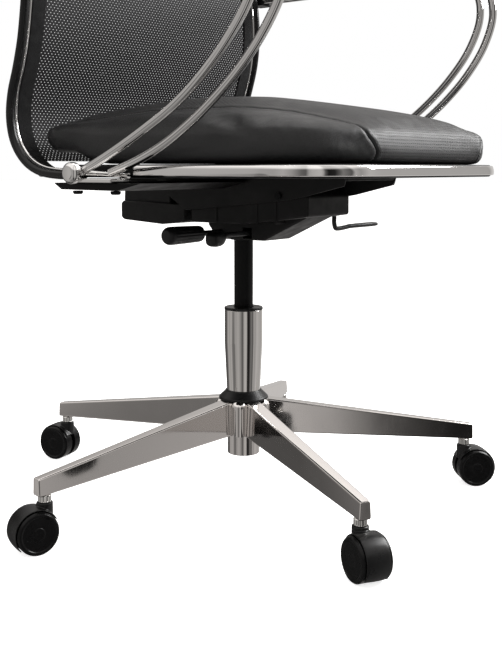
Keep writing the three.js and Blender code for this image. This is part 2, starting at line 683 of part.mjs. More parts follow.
addPiece(chair, 'seat_plate', seatPlate(), steelBlack);
addPiece(chair, 'back_carrier', backCarrier(), plasticBlack);
const panOutline = seatOutline(TRIM.thickness + 0.4, PAN.rear, 36);
addPiece(chair, 'seat_pan', slab(panOutline, PAN.bottom, PAN.top), plasticBlack);
addPiece(chair, 'seat_cushion', cushionSolid(), leatherBlack);
addPiece(chair, 'seat_trim', seatTrim(), chrome);
chair.add(armSet('left', 1));
chair.add(armSet('right', -1));
addPiece(chair, 'back_frame', backFrame(), steelBlack);
addPiece(chair, 'back_trim', backLoop(BACK_TRIM_INSET, BACK_MESH_START, BACK_TRIM_RADIUS, 4), chrome);
addPiece(chair, 'back_mesh', backMesh(), meshBlack);

export default chair;
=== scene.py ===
"""Looks of a swivel office chair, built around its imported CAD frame."""

import math

import bmesh
import bpy
import numpy as np
from mathutils import Matrix, Vector
from mathutils.bvhtree import BVHTree


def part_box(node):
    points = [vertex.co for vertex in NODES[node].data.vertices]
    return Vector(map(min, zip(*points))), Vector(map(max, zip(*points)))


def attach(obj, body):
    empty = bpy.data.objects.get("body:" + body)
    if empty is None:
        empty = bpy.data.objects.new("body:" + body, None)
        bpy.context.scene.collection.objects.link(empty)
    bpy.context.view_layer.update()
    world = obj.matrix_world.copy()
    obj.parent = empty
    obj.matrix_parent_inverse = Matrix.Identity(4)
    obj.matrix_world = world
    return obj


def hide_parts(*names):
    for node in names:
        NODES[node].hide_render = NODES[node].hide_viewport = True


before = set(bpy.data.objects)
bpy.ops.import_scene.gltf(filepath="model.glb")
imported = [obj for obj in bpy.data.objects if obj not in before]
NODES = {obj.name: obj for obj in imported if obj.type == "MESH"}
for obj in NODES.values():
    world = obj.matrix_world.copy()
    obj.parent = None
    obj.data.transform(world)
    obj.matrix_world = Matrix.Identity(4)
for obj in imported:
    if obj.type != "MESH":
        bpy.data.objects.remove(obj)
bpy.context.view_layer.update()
MM = 0.001

# ---------------------------------------------------------------- places, in mm from the column axis
tube_low, tube_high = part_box("column_tube")
AXIS = (tube_low + tube_high) / 2
BASE_FOOT = 54.5
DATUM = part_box("star_base")[0].z / MM - BASE_FOOT  # heights are measured from just above the floor


def at(x, y, z):
    """A point in the row frame, in metres, from millimetres beside the column axis."""
    return Vector((AXIS.x + x * MM, AXIS.y + y * MM, (DATUM + z) * MM))


ARM_ANGLES = (169, 241, 313, 25, 97)
CASTER_HEADINGS = (160, 240, 313, 32, 101)
STEM_RADIUS = 340
TRAIL = 15.5
WHEEL_RADIUS = 27.5
AXLE_Z = WHEEL_RADIUS - DATUM

SEAT_HALF = 256
SEAT_FRONT = -313
SEAT_CORNER = 105
CUSHION_HALF = 254
CUSHION_REAR = 183
CUSHION_BOTTOM = 483.2
CUSHION_EDGE = 507
CUSHION_CROWN = 581

ARM_OUTER_X = 285
ARM_INNER_X = 270
ARM_TUBE_RADIUS = 5.7
ARM_RUN_Z = 772
ARM_REAR_Y = 158
OUTER_ROUTE = [(40, 474), (14, 485), (-27, 504), (-70, 526), (-109, 548), (-148, 577), (-190, 618),
               (-222, 662), (-238, 708), (-232, 744), (-208, 764), (-170, ARM_RUN_Z), (-60, ARM_RUN_Z),
               (60, ARM_RUN_Z), (ARM_REAR_Y, ARM_RUN_Z)]
INNER_ROUTE = [(4, 472.5), (-42, 488), (-85, 507), (-125, 531), (-158, 555), (-194, 586), (-226, 621),
               (-253, 664), (-265, 708), (-256, 744), (-228, 765), (-186, ARM_RUN_Z), (-60, ARM_RUN_Z),
               (60, ARM_RUN_Z), (ARM_REAR_Y, ARM_RUN_Z)]

BACK_TUBE_RADIUS = 6.2
BACK_HALF_LOW = 262
BACK_HALF_HIGH = 232
BACK_CORNER = 90
BACK_TRIM_INSET = 9.2
BACK_MESH_START = 110
BACK_SIDE = [(58, 471), (109, 470), (149, 476), (176, 491), (195, 516), (202, 548), (198, 580), (186, 615),
             (174, 660), (168, 720), (172, 790), (186, 870), (208, 950), (238, 1030), (272, 1110)]


# ---------------------------------------------------------------- mesh helpers
def fillet(points, radius, steps=3):
    """Rounds the corners between the ends of an open outline."""
    out = [tuple(points[0])]
    for before, corner, after in zip(points, points[1:], points[2:]):
        p, c, n = Vector(before), Vector(corner), Vector(after)
        reach = min(radius, (p - c).length * 0.45, (n - c).length * 0.45)
        start = c + (p - c).normalized() * reach
        end = c + (n - c).normalized() * reach
        for i in range(steps + 1):
            t = i / steps
            out.append(tuple(start * (1 - t) ** 2 + c * 2 * t * (1 - t) + end * t * t))
    out.append(tuple(points[-1]))
    return out


def smooth_path(points, count):
    """Centripetal Catmull-Rom curve through the points, sampled evenly along its length."""
    pts = [Vector(p) for p in points]
    pts = [pts[0] * 2 - pts[1], *pts, pts[-1] * 2 - pts[-2]]
    fine = []
    for p0, p1, p2, p3 in zip(pts, pts[1:], pts[2:], pts[3:]):
        k1 = math.sqrt((p1 - p0).length)
        k2 = k1 + math.sqrt((p2 - p1).length)
        k3 = k2 + math.sqrt((p3 - p2).length)
        for i in range(16):
            t = k1 + (k2 - k1) * i / 16
            a1 = p0 * ((k1 - t) / k1) + p1 * (t / k1)
            a2 = p1 * ((k2 - t) / (k2 - k1)) + p2 * ((t - k1) / (k2 - k1))
            a3 = p2 * ((k3 - t) / (k3 - k2)) + p3 * ((t - k2) / (k3 - k2))
            b1 = a1 * ((k2 - t) / k2) + a2 * (t / k2)
            b2 = a2 * ((k3 - t) / (k3 - k1)) + a3 * ((t - k1) / (k3 - k1))
            fine.append(b1 * ((k2 - t) / (k2 - k1)) + b2 * ((t - k1) / (k2 - k1)))
    fine.append(pts[-2])
    lengths = [0.0]
    for a, b in zip(fine, fine[1:]):
        lengths.append(lengths[-1] + (b - a).length)
    out = []
    j = 0
    for i in range(count):
        s = lengths[-1] * i / (count - 1)
        while j < len(fine) - 2 and lengths[j + 1] < s:
            j += 1
        span = max(lengths[j + 1] - lengths[j], 1e-9)
        out.append(fine[j].lerp(fine[j + 1], min(1, (s - lengths[j]) / span)))
    return out


def arc(radius, start, end, steps, u=0.0, v=0.0):
    """Points round (u, v) from one angle in radians to another."""
    turns = [start + (end - start) * i / steps for i in range(steps + 1)]
    return [(u + radius * math.cos(turn), v + radius * math.sin(turn)) for turn in turns]


def circle(radius, sides):
    return arc(radius, 0, 2 * math.pi, sides)[:-1]


def rounded_box(half_u, half_v, radius, steps=4):
    """Outline of a rectangle with round corners."""
    out = []
    for quarter in range(4):
        cu = (half_u - radius) * (1 if quarter in (0, 3) else -1)
        cv = (half_v - radius) * (1 if quarter in (0, 1) else -1)
        out += arc(radius, math.pi / 2 * quarter, math.pi / 2 * (quarter + 1), steps, cu, cv)
    return out


def skin(loops, closed=False):
    """A mesh through equal-length loops of points, with flat caps on its ends unless it closes on itself."""
    bm = bmesh.new()
    rows = [[bm.verts.new(p) for p in loop] for loop in loops]
    count = len(rows[0])
    pairs = list(zip(rows, rows[1:])) + ([(rows[-1], rows[0])] if closed else [])
    for low, high in pairs:
        for i in range(count):
            j = (i + 1) % count
            bm.faces.new((low[i], low[j], high[j], high[i]))
    if not closed:
        bm.faces.new(rows[0])
        bm.faces.new(rows[-1])
    return bm


def lathe(profile, segments=72, closed=False):
    """Revolves (radius, height) pairs in mm about +Z."""
    bm = bmesh.new()
    rings = []
    for radius, height in profile:
        if radius < 1e-6:
            rings.append([bm.verts.new((0, 0, height * MM))])
        else:
            rings.append([bm.verts.new((u * MM, v * MM, height * MM)) for u, v in circle(radius, segments)])
    pairs = list(zip(rings, rings[1:])) + ([(rings[-1], rings[0])] if closed else [])
    for low, high in pairs:
        for i in range(segments):
            j = (i + 1) % segments
            corners = [low[i % len(low)], low[j % len(low)], high[j % len(high)], high[i % len(high)]]
            corners = list(dict.fromkeys(corners))
            if len(corners) > 2:
                bm.faces.new(corners)
    return bm


def sweep(path, section, up=Vector((0, 0, 1))):
    """Carries a section, in mm, along a path in metres, with no twist, and caps both ends."""
    last = len(path) - 1
    tangents = [(path[min(i + 1, last)] - path[max(i - 1, 0)]).normalized() for i in range(last + 1)]
    side = tangents[0].cross(up)
    if side.length < 1e-3:
        side = tangents[0].cross(Vector((1, 0, 0)))
    side.normalize()
    loops = []
    for point, tangent in zip(path, tangents):
        side = (side - tangent * side.dot(tangent)).normalized()
        top = side.cross(tangent)
        loops.append([point + (side * u + top * v) * MM for u, v in section])
    return skin(loops)


def plate(outline, low, high, place):
    """Extrudes a closed outline of (u, v) pairs between two distances; place(u, v, w) gives the point."""
    return skin([[place(u, v, w) for u, v in outline] for w in (low, high)])


def to_object(name, bm):
    bmesh.ops.recalc_face_normals(bm, faces=bm.faces)
    mesh = bpy.data.meshes.new(name)
    bm.to_mesh(mesh)
    bm.free()
    obj = bpy.data.objects.new(name, mesh)
    bpy.context.scene.collection.objects.link(obj)
    return obj


def settle(obj):
    """Applies the object's modifiers."""
    graph = bpy.context.evaluated_depsgraph_get()
    graph.update()
    mesh = bpy.data.meshes.new_from_object(obj.evaluated_get(graph))
    obj.modifiers.clear()
    old = obj.data
    obj.data = mesh
    bpy.data.meshes.remove(old)
    return obj


def bevel(obj, width, segments=3, angle=30):
    mod = obj.modifiers.new("edge", "BEVEL")
    mod.width = width * MM
    mod.segments = segments
    mod.limit_method = "ANGLE"
    mod.angle_limit = math.radians(angle)
    mod.harden_normals = False
    return settle(obj)


def combined(operation, first, others):
    """The first piece joined with, or cut by, the others, which are used up."""
    for other in others:
        mod = first.modifiers.new("combine", "BOOLEAN")
        mod.operation = operation
        mod.solver = "EXACT"
        mod.object = other
    settle(first)
    for other in others:
        bpy.data.objects.remove(other)
    return first


def union(first, *others):
    return combined("UNION", first, others)


def difference(first, *others):
    return combined("DIFFERENCE", first, others)


def remesh(obj, voxel, smooth=0):
    mod = obj.modifiers.new("voxels", "REMESH")
    mod.mode = "VOXEL"
    mod.voxel_size = voxel * MM
    if smooth:
        soft = obj.modifiers.new("soft", "SMOOTH")
        soft.factor = 0.5
        soft.iterations = smooth
    return settle(obj)


def moved(obj, matrix):
    obj.data.transform(matrix)
    return obj


def turned(name, profile, matrix, segments=72, closed=False):
    """A lathed piece, its profile in mm, put in place by the matrix."""
    return moved(to_object(name, lathe(profile, segments, closed)), matrix)


COLUMN_AXIS = Matrix.Translation(at(0, 0, 0))


def along_x(y, z):
    """Turns lathe space so that its height runs along +X through the point."""
    return Matrix.Translation(at(0, y, z)) @ Matrix.Rotation(math.pi / 2, 4, "Y")


def side_view(u, v, w):
    return at(w, u, v)


def plan_view(u, v, w):
    return at(u, v, w)


def rod(radius, low, high, matrix, segments=72):
    """A plain cylinder, used to cut bores."""
    return turned("rod", [(0, low), (radius, low), (radius, high), (0, high)], matrix, segments)


def slab(name, outline, low, high, edge, segments=3):
    """A flat piece with the outline in side view, from low to high across the chair, its edges rounded."""
    return bevel(to_object(name, plate(outline, low, high, side_view)), edge, segments)


def fluted(stations, flutes, place):
    """A round bar through (distance along, radius, groove depth) stations, with grooves down its side."""
    sides = flutes * 4
    loops = []
    for along, radius, groove in stations:
        loops.append([place(along, u, v) for u, v in (
            ((radius - groove * (i % 4 == 0)) * math.cos(2 * math.pi * i / sides),
             (radius - groove * (i % 4 == 0)) * math.sin(2 * math.pi * i / sides)) for i in range(sides))])
    return skin(loops)


def dress(obj, body, slot, material, *nodes, angle=35, soft=False):
    """Gives a piece its material, shading and body, and hides the CAD nodes that it stands for; its slot is
    not used.
    """
    obj.data.materials.clear()
    obj.data.materials.append(material)
    obj.data.shade_smooth()
    obj.data.set_sharp_from_angle(angle=math.radians(angle))
    if not soft:
        flatten = obj.modifiers.new("even", "WEIGHTED_NORMAL")
        flatten.keep_sharp = True
        settle(obj)
    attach(obj, body)
    if nodes:
        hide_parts(*nodes)
    return obj


def smoothstep(value, low, high):
    t = np.clip((value - low) / (high - low), 0, 1)
    return t * t * (3 - 2 * t)


# ---------------------------------------------------------------- material helpers
class Surface:
    """A procedural material: colours, roughness and bump built from noise in the row frame."""

    def __init__(self, name, color, roughness, metallic=0.0, **sockets):
        self.material = bpy.data.materials.new(name)
        self.material.use_nodes = True
        self.tree = self.material.node_tree
        self.shader = self.tree.nodes["Principled BSDF"]
        self.shader.inputs["Base Color"].default_value = (*color, 1)
        self.shader.inputs["Roughness"].default_value = roughness
        self.shader.inputs["Metallic"].default_value = metallic
        for key, value in sockets.items():
            self.shader.inputs[key.replace("_", " ").title().replace("Ior", "IOR")].default_value = value
        self.place = self.tree.nodes.new("ShaderNodeTexCoord").outputs["Object"]
        self.height = None

    def node(self, kind, **inputs):
        made = self.tree.nodes.new(kind)
        for key, value in inputs.items():
            self.plug(made.inputs[key.replace("_", " ")], value)
        return made

    def plug(self, socket, value):
        if isinstance(value, bpy.types.NodeSocket):
            self.tree.links.new(value, socket)
        else:
            socket.default_value = value

    def stretched(self, x, y, z, source=None):
        made = self.node("ShaderNodeMapping", Vector=source or self.place)
        made.inputs["Scale"].default_value = (x, y, z)
        return made.outputs["Vector"]

    def noise(self, scale, detail=3.0, rough=0.5, vector=None):
        made = self.node("ShaderNodeTexNoise", Vector=vector or self.place, Scale=scale, Detail=detail)
        made.inputs["Roughness"].default_value = rough
        return made.outputs["Fac"]

    def cells(self, scale, feature="F1", vector=None):
        made = self.tree.nodes.new("ShaderNodeTexVoronoi")
        made.feature = feature
        self.plug(made.inputs["Vector"], vector or self.place)
        made.inputs["Scale"].default_value = scale
        return made.outputs["Distance"]

    def span(self, source, low, high, to_low, to_high, smooth=False):
        made = self.tree.nodes.new("ShaderNodeMapRange")
        if smooth:
            made.interpolation_type = "SMOOTHSTEP"
        self.plug(made.inputs["Value"], source)
        for key, value in zip(("From Min", "From Max", "To Min", "To Max"), (low, high, to_low, to_high)):
            made.inputs[key].default_value = value
        return made.outputs["Result"]

    def math(self, operation, a, b=0.0, c=0.0):
        made = self.tree.nodes.new("ShaderNodeMath")
        made.operation = operation
        for socket, value in zip(made.inputs, (a, b, c)):
            self.plug(socket, value)
        return made.outputs["Value"]

    def staggered(self, spot, pitch_u, pitch_v, half_u=1.0, half_v=1.0):
        """Distance from the middle of the nearest hole of a staggered grid, 1 at its edge."""
        row = self.math("DIVIDE", spot.outputs["Y"], pitch_v)
        odd = self.math("MULTIPLY", self.math("FLOORED_MODULO", self.math("FLOOR", row), 2.0), 0.5)
        column = self.math("ADD", self.math("DIVIDE", spot.outputs["X"], pitch_u), odd)
        squares = []
        for step, size in ((column, pitch_u / half_u), (row, pitch_v / half_v)):
            offset = self.math("MULTIPLY", self.math("SUBTRACT", self.math("FRACT", step), 0.5), size)
            squares.append(self.math("POWER", offset, 2.0))
        return self.math("SQRT", self.math("ADD", *squares))

    def attribute(self, name, output="Fac"):
        made = self.tree.nodes.new("ShaderNodeAttribute")
        made.attribute_name = name
        return made.outputs[output]

    def blend(self, factor, first, second):
        made = self.tree.nodes.new("ShaderNodeMix")
        made.data_type = "RGBA"
        self.plug(made.inputs["Factor"], factor)
        for index, value in ((6, first), (7, second)):
            self.plug(made.inputs[index], (*value, 1) if isinstance(value, tuple) else value)
        return made.outputs[2]

    def color(self, factor, first, second):
        self.plug(self.shader.inputs["Base Color"], self.blend(factor, first, second))

    def roughness(self, source):
        self.plug(self.shader.inputs["Roughness"], source)

    def bump(self, source, depth, strength=1.0):
        made = self.node("ShaderNodeBump", Height=source)
        made.inputs["Distance"].default_value = depth * MM
        made.inputs["Strength"].default_value = strength
        if self.height is not None:
            self.tree.links.new(self.height, made.inputs["Normal"])
        self.height = made.outputs["Normal"]
        self.plug(self.shader.inputs["Normal"], self.height)


def polished(name, color, roughness):
    """Chrome or polished casting: faint smears and hairline scratches."""
    s = Surface(name, color, roughness, 1.0)
    smear = s.noise(26, 4)
    hair = s.noise(900, 2, vector=s.stretched(1, 1, 0.05))
    s.roughness(s.math("ADD", s.span(smear, 0.35, 0.75, roughness * 0.6, roughness * 1.5),
                       s.span(hair, 0.55, 0.8, 0, 0.05)))
    s.color(s.span(s.noise(9, 3), 0.35, 0.7, 0, 1), color, tuple(c * 0.97 for c in color))
    s.bump(s.noise(45, 2), 0.05, 0.25)
    return s.material


def moulded(name, color, roughness, grain=1300, depth=0.05, specular=0.3):
    """Moulded plastic or powder coat: fine texture, soft gloss variation, worn edges a little lighter."""
    s = Surface(name, color, roughness, Specular_IOR_Level=specular)
    s.bump(s.noise(grain, 3, 0.6), depth, 0.6)
    s.roughness(s.span(s.noise(60, 4), 0.3, 0.75, roughness * 0.82, roughness * 1.2))
    rub = s.span(s.noise(24, 5, 0.6), 0.52, 0.8, 0, 1)
    s.color(rub, color, tuple(c * 1.6 + 0.0015 for c in color))
    return s.material


def ground_steel(name):
    s = Surface(name, (0.5, 0.5, 0.5), 0.3, 1.0)
    lines = s.noise(700, 2, vector=s.stretched(1, 1, 0.02))
    s.roughness(s.span(lines, 0.3, 0.7, 0.2, 0.42))
    s.bump(lines, 0.02, 0.4)
    s.color(s.noise(30, 3), (0.5, 0.5, 0.5), (0.38, 0.37, 0.36))
    return s.material


def leather(name):
    """Black leather with a pebble grain; the middle panel is pierced in a fine staggered grid; painted shade
    darkens its seam grooves and its holes.
    """
    s = Surface(name, (0.016, 0.016, 0.017), 0.42, Specular_IOR_Level=0.34)
    warp = s.node("ShaderNodeVectorMath")
    warp.operation = "ADD"
    s.plug(warp.inputs[0], s.place)
    wobble = s.node("ShaderNodeTexNoise", Vector=s.place, Scale=210.0, Detail=2.0)
    shift = s.node("ShaderNodeVectorMath")
    shift.operation = "SCALE"
    s.plug(shift.inputs[0], wobble.outputs["Color"])
    shift.inputs["Scale"].default_value = 0.0035
    s.plug(warp.inputs[1], shift.outputs["Vector"])
    pebble = s.cells(620, "DISTANCE_TO_EDGE", warp.outputs["Vector"])
    grain = s.span(pebble, 0.0, 0.16, 0, 1, smooth=True)
    s.bump(grain, 0.11, 0.55)
    s.bump(s.noise(60, 4), 0.5, 0.3)
    seam = s.attribute("seam")
    crease = s.span(seam, 0.0, 1.3, 0, 1, smooth=True)
    s.bump(crease, 0.9, 0.9)
    # Painted shade: near the seam (crease mask) the leather is painted darker, standing for shade in the seam
    # groove; the darker pebble edges are the grain's own colour.
    grain_and_seam_shade = s.math("MULTIPLY", crease, s.span(grain, 0, 1, 0.55, 1))
    matt = s.math("ADD", s.span(s.noise(34, 4), 0.3, 0.7, 0.36, 0.47), s.span(grain, 0, 1, 0.1, 0))
    dark, light = (0.003, 0.003, 0.003), (0.0105, 0.0105, 0.011)
    shade = s.blend(grain_and_seam_shade, dark, light)
    split = s.node("ShaderNodeSeparateXYZ", Vector=s.attribute("flat", "Vector"))
    away = s.staggered(split, 5.2, 4.2)
    pierced = s.span(away, 0.75, 1.05, 0, 1, smooth=True)
    panel = s.span(s.attribute("panel"), 4.0, 5.0, 0, 1, smooth=True)
    solid = s.math("MAXIMUM", pierced, s.math("SUBTRACT", 1.0, panel))
    s.bump(solid, 0.9, 0.9)
    # Painted shade: the holes of the pierced panel are painted near black, standing for the shade inside
    # them.
    shade = s.blend(solid, (0.002, 0.002, 0.002), shade)
    matt = s.math("MAXIMUM", matt, s.math("SUBTRACT", 1.0, solid))
    s.roughness(matt)
    s.plug(s.shader.inputs["Base Color"], shade)
    return s.material


def knit(name):
    """Open knitted mesh: black yarn round staggered oval holes, solid near its edge."""
    s = Surface(name, (0.012, 0.012, 0.013), 0.7, Sheen_Weight=0.04, Specular_IOR_Level=0.15)
    split = s.node("ShaderNodeSeparateXYZ", Vector=s.attribute("flat", "Vector"))
    away = s.staggered(split, 6.4, 3.7, 0.82, 0.48)
    border = s.span(split.outputs["Z"], 24.5, 25.1, 1, 0)
    solid = s.math("MAXIMUM", s.span(away, 0.82, 1.05, 0, 1, smooth=True), border)
    s.plug(s.shader.inputs["Alpha"], solid)
    yarn = s.noise(1500, 2)
    s.bump(s.math("ADD", s.span(away, 0.8, 1.7, 0, 1, smooth=True), s.math("MULTIPLY", yarn, 0.4)), 0.8, 0.9)
    s.color(s.span(yarn, 0.35, 0.7, 0, 1), (0.0035, 0.0035, 0.004), (0.011, 0.011, 0.012))
    s.roughness(s.span(yarn, 0.3, 0.7, 0.5, 0.75))
    return s.material


def webbing(name):
    """Close woven edge band."""
    s = Surface(name, (0.01, 0.01, 0.011), 0.75, Sheen_Weight=0.03, Specular_IOR_Level=0.12)
    split = s.node("ShaderNodeSeparateXYZ", Vector=s.attribute("flat", "Vector"))
    warp = s.math("SINE", s.math("MULTIPLY", split.outputs["X"], 2 * math.pi / 1.3))
    weft = s.math("SINE", s.math("MULTIPLY", split.outputs["Y"], 2 * math.pi / 1.3))
    weave = s.math("MULTIPLY", warp, weft)
    s.bump(weave, 0.3, 0.8)
    s.color(s.span(weave, -1, 1, 0, 1), (0.002, 0.002, 0.0022), (0.007, 0.007, 0.0075))
    s.roughness(s.span(s.noise(90, 3), 0.3, 0.7, 0.65, 0.85))
    return s.material


def thread(name):
    s = Surface(name, (0.03, 0.03, 0.031), 0.5, Sheen_Weight=0.2)
    twist = s.noise(2600, 2, vector=s.stretched(1, 0.3, 1))
    s.bump(twist, 0.1, 0.8)
    s.color(twist, (0.035, 0.035, 0.036), (0.09, 0.09, 0.091))
    return s.material


CHROME = polished("chrome", (0.80, 0.79, 0.78), 0.045)
CASTING = polished("polished_casting", (0.76, 0.73, 0.71), 0.075)
COLUMN = polished("polished_column", (0.78, 0.76, 0.74), 0.035)
SOCKET = polished("chrome_socket", (0.78, 0.77, 0.75), 0.09)
PLASTIC = moulded("black_plastic", (0.004, 0.004, 0.0042), 0.38)
PAN = moulded("pan_black", (0.003, 0.003, 0.0031), 0.5, 1300, 0.05, 0.15)
HOOD = moulded("caster_black", (0.004, 0.004, 0.0041), 0.3, 900, 0.03)
WHEEL = moulded("wheel_black", (0.0018, 0.0018, 0.0019), 0.26, 700, 0.03, 0.2)
LEVER = moulded("lever_black", (0.003, 0.003, 0.0031), 0.34)
PAD = moulded("arm_pad", (0.006, 0.006, 0.0062), 0.48, 750, 0.12)
CAST_BLACK = moulded("mechanism_black", (0.0032, 0.0031, 0.003), 0.5, 520, 0.12, 0.2)
PAINT = moulded("black_steel", (0.002, 0.002, 0.002), 0.42, 800, 0.04, 0.12)
FRAME_PAINT = moulded("frame_black", (0.004, 0.004, 0.0041), 0.26, 800, 0.03)
STEEL = ground_steel("bright_steel")
LEATHER = leather("seat_leather")
KNIT = knit("back_mesh")
WEBBING = webbing("back_edge_band")
THREAD = thread("seat_thread")


# ---------------------------------------------------------------- camera and studio
scene = bpy.context.scene
camera_data = bpy.data.cameras.new("camera")
camera_data.sensor_width = 36
camera_data.lens = 52.76
camera_data.shift_x = 0.0111
camera_data.shift_y = -0.12
camera = bpy.data.objects.new("camera", camera_data)
scene.collection.objects.link(camera)
camera.location = (-1.1371, -0.8870, 0.4815)
pitch = math.radians(4.94)
heading = math.radians(37)
ahead = Vector((math.cos(heading) * math.cos(pitch), math.sin(heading) * math.cos(pitch), -math.sin(pitch)))
camera.rotation_mode = "QUATERNION"
camera.rotation_quaternion = ahead.to_track_quat("-Z", "Y")
scene.camera = camera
scene.view_settings.view_transform = "Standard"


def area_light(name, place, target, size, watts):
    light = bpy.data.lights.new(name, "AREA")
    light.shape = "RECTANGLE"
    light.size, light.size_y = size
    light.energy = watts
    lamp = bpy.data.objects.new(name, light)
    lamp.location = place
    lamp.rotation_mode = "QUATERNION"
    lamp.rotation_quaternion = (Vector(target) - Vector(place)).to_track_quat("-Z", "Y")
    scene.collection.objects.link(lamp)


def studio():
    """A plain pale room for the camera; reflections and fill light see darker and lighter sides."""
    world = bpy.data.worlds.new("studio")
    scene.world = world
    world.use_nodes = True
    tree = world.node_tree
    tree.nodes.clear()

    def calc(operation, a, b=0.0):
        made = tree.nodes.new("ShaderNodeMath")
        made.operation = operation
        for socket, value in zip(made.inputs, (a, b)):
            if isinstance(value, bpy.types.NodeSocket):
                tree.links.new(value, socket)
            else:
                socket.default_value = value
        return made.outputs[0]

    def lobe(direction, low, high):
        """1 towards the direction, 0 away from it."""
        dot = tree.nodes.new("ShaderNodeVectorMath")
        dot.operation = "DOT_PRODUCT"
        tree.links.new(coords.outputs["Generated"], dot.inputs[0])
        dot.inputs[1].default_value = Vector(direction).normalized()
        ramp = tree.nodes.new("ShaderNodeMapRange")
        ramp.interpolation_type = "SMOOTHSTEP"
        tree.links.new(dot.outputs["Value"], ramp.inputs["Value"])
        ramp.inputs["From Min"].default_value = low
        ramp.inputs["From Max"].default_value = high
        return ramp.outputs["Result"]

    coords = tree.nodes.new("ShaderNodeTexCoord")
    split = tree.nodes.new("ShaderNodeSeparateXYZ")
    tree.links.new(coords.outputs["Generated"], split.inputs[0])
    azimuth = calc("ARCTAN2", split.outputs["Y"], split.outputs["X"])
    turn = calc("ADD", calc("DIVIDE", azimuth, 2 * math.pi), 1.0)
    ring = tree.nodes.new("ShaderNodeValToRGB")
    tree.links.new(calc("FRACT", turn), ring.inputs["Fac"])
    stops = ring.color_ramp.elements
    while len(stops) < len(WALL_PANELS):
        stops.new(0.5)
    for stop, (degrees, level) in zip(stops, WALL_PANELS):
        stop.position = degrees / 360
        stop.color = (level, level, level, 1)
    level = ring.outputs["Color"]
    for direction, low, high, strength in ROOM_LIGHTS:
        level = calc("ADD", level, calc("MULTIPLY", lobe(direction, low, high), strength))
    level = calc("MAXIMUM", level, 0.0)
    tint = tree.nodes.new("ShaderNodeCombineColor")
    for channel, gain in zip(("Red", "Green", "Blue"), (1.0, 0.97, 0.945)):
        tree.links.new(calc("MULTIPLY", level, gain), tint.inputs[channel])
    room = tree.nodes.new("ShaderNodeBackground")
    tree.links.new(tint.outputs[0], room.inputs["Color"])
    backdrop = tree.nodes.new("ShaderNodeBackground")
    backdrop.inputs["Color"].default_value = (1, 1, 1, 1)
    path = tree.nodes.new("ShaderNodeLightPath")
    mix = tree.nodes.new("ShaderNodeMixShader")
    tree.links.new(path.outputs["Is Camera Ray"], mix.inputs[0])
    tree.links.new(room.outputs[0], mix.inputs[1])
    tree.links.new(backdrop.outputs[0], mix.inputs[2])
    out = tree.nodes.new("ShaderNodeOutputWorld")
    tree.links.new(mix.outputs[0], out.inputs["Surface"])


# Panels round the room as (azimuth from +X in degrees, level): the stripes that the polished metal mirrors.
WALL_PANELS = [
    (0, 0.66), (37, 0.55), (55, 0.3), (70, 0.1), (92, 0.085), (100, 0.25), (111, 0.47), (124, 0.38),
    (137, 0.49), (150, 0.4), (171, 0.38),
    (184, 0.45), (196, 0.33), (202, 0.23), (208, 0.14), (214, 0.11), (218, 0.4),
    (222, 0.47), (233, 0.53), (236, 0.42), (239, 0.1), (243, 0.012), (252, 0.02), (258, 0.1), (263, 0.21),
    (276, 0.1), (281, 0.45), (290, 0.34), (305, 0.52), (345, 0.41), (359, 0.64),
]
# direction, cosines where it starts and is full, strength
ROOM_LIGHTS = [
    ((0, 0, 1), 0.34, 0.62, 0.7),
    ((-0.84, 0.46, -0.29), 0.965, 0.995, -0.22),
    ((0, 0, -1), 0.55, 0.95, -0.2),
]
studio()
area_light("overhead", (0.5, 0.3, 2.7), (0, 0, 0.3), (2.0, 2.0), 9)
area_light("key", (1.55, -1.35, 1.75), (0, -0.2, 0.5), (1.3, 1.3), 95)

floor_look = Surface("floor_look", (0.9, 0.9, 0.9), 0.9)
floor_look.shader.inputs["Emission Color"].default_value = (1, 1, 1, 1)
floor_look.shader.inputs["Emission Strength"].default_value = 0.8
floor_mesh = bmesh.new()
bmesh.ops.create_grid(floor_mesh, x_segments=1, y_segments=1, size=30)
floor = to_object("floor", floor_mesh)
floor.data.materials.append(floor_look.material)
floor.visible_glossy = False


# ---------------------------------------------------------------- base
def base_arm(angle):
    """One of the five arms, tapering from the hub out to its rounded end."""
    root = (18, 26, 88.5, 140)  # radius, width, low, high
    end = (352, 16.5, 66, 88.6)
    draft = 1.2
    loops = []
    for radius, inset in ((18, 0), (200, 0), (350.4, 0), (351.5, 0.5), (352, 1.6)):
        t = (radius - root[0]) / (end[0] - root[0])
        half, low, high = (a + (b - a) * t for a, b in zip(root[1:], end[1:]))
        half = half / 2 - inset
        low, high = low + inset, high - inset
        outline = fillet([(0, low), (half, low), (half - draft, high), (-half + draft, high), (-half, low),
                          (0, low)], 2.4, 4)[:-1]
        loops.append([Vector((radius, u, v)) * MM for u, v in outline])
    arm = to_object("arm", skin(loops))
    return moved(arm, COLUMN_AXIS @ Matrix.Rotation(math.radians(angle), 4, "Z"))


def dome(radius, foot, top, steps=10):
    """Profile of a post with a round end."""
    return [(0, foot), (radius, foot), *arc(radius, 0, math.pi / 2, steps, 0, top - radius)[:-1], (0, top)]


def stem_place(angle):
    """Where the stem of the caster under the arm at this angle stands, x and y."""
    turn = math.radians(angle)
    return STEM_RADIUS * math.cos(turn), STEM_RADIUS * math.sin(turn)


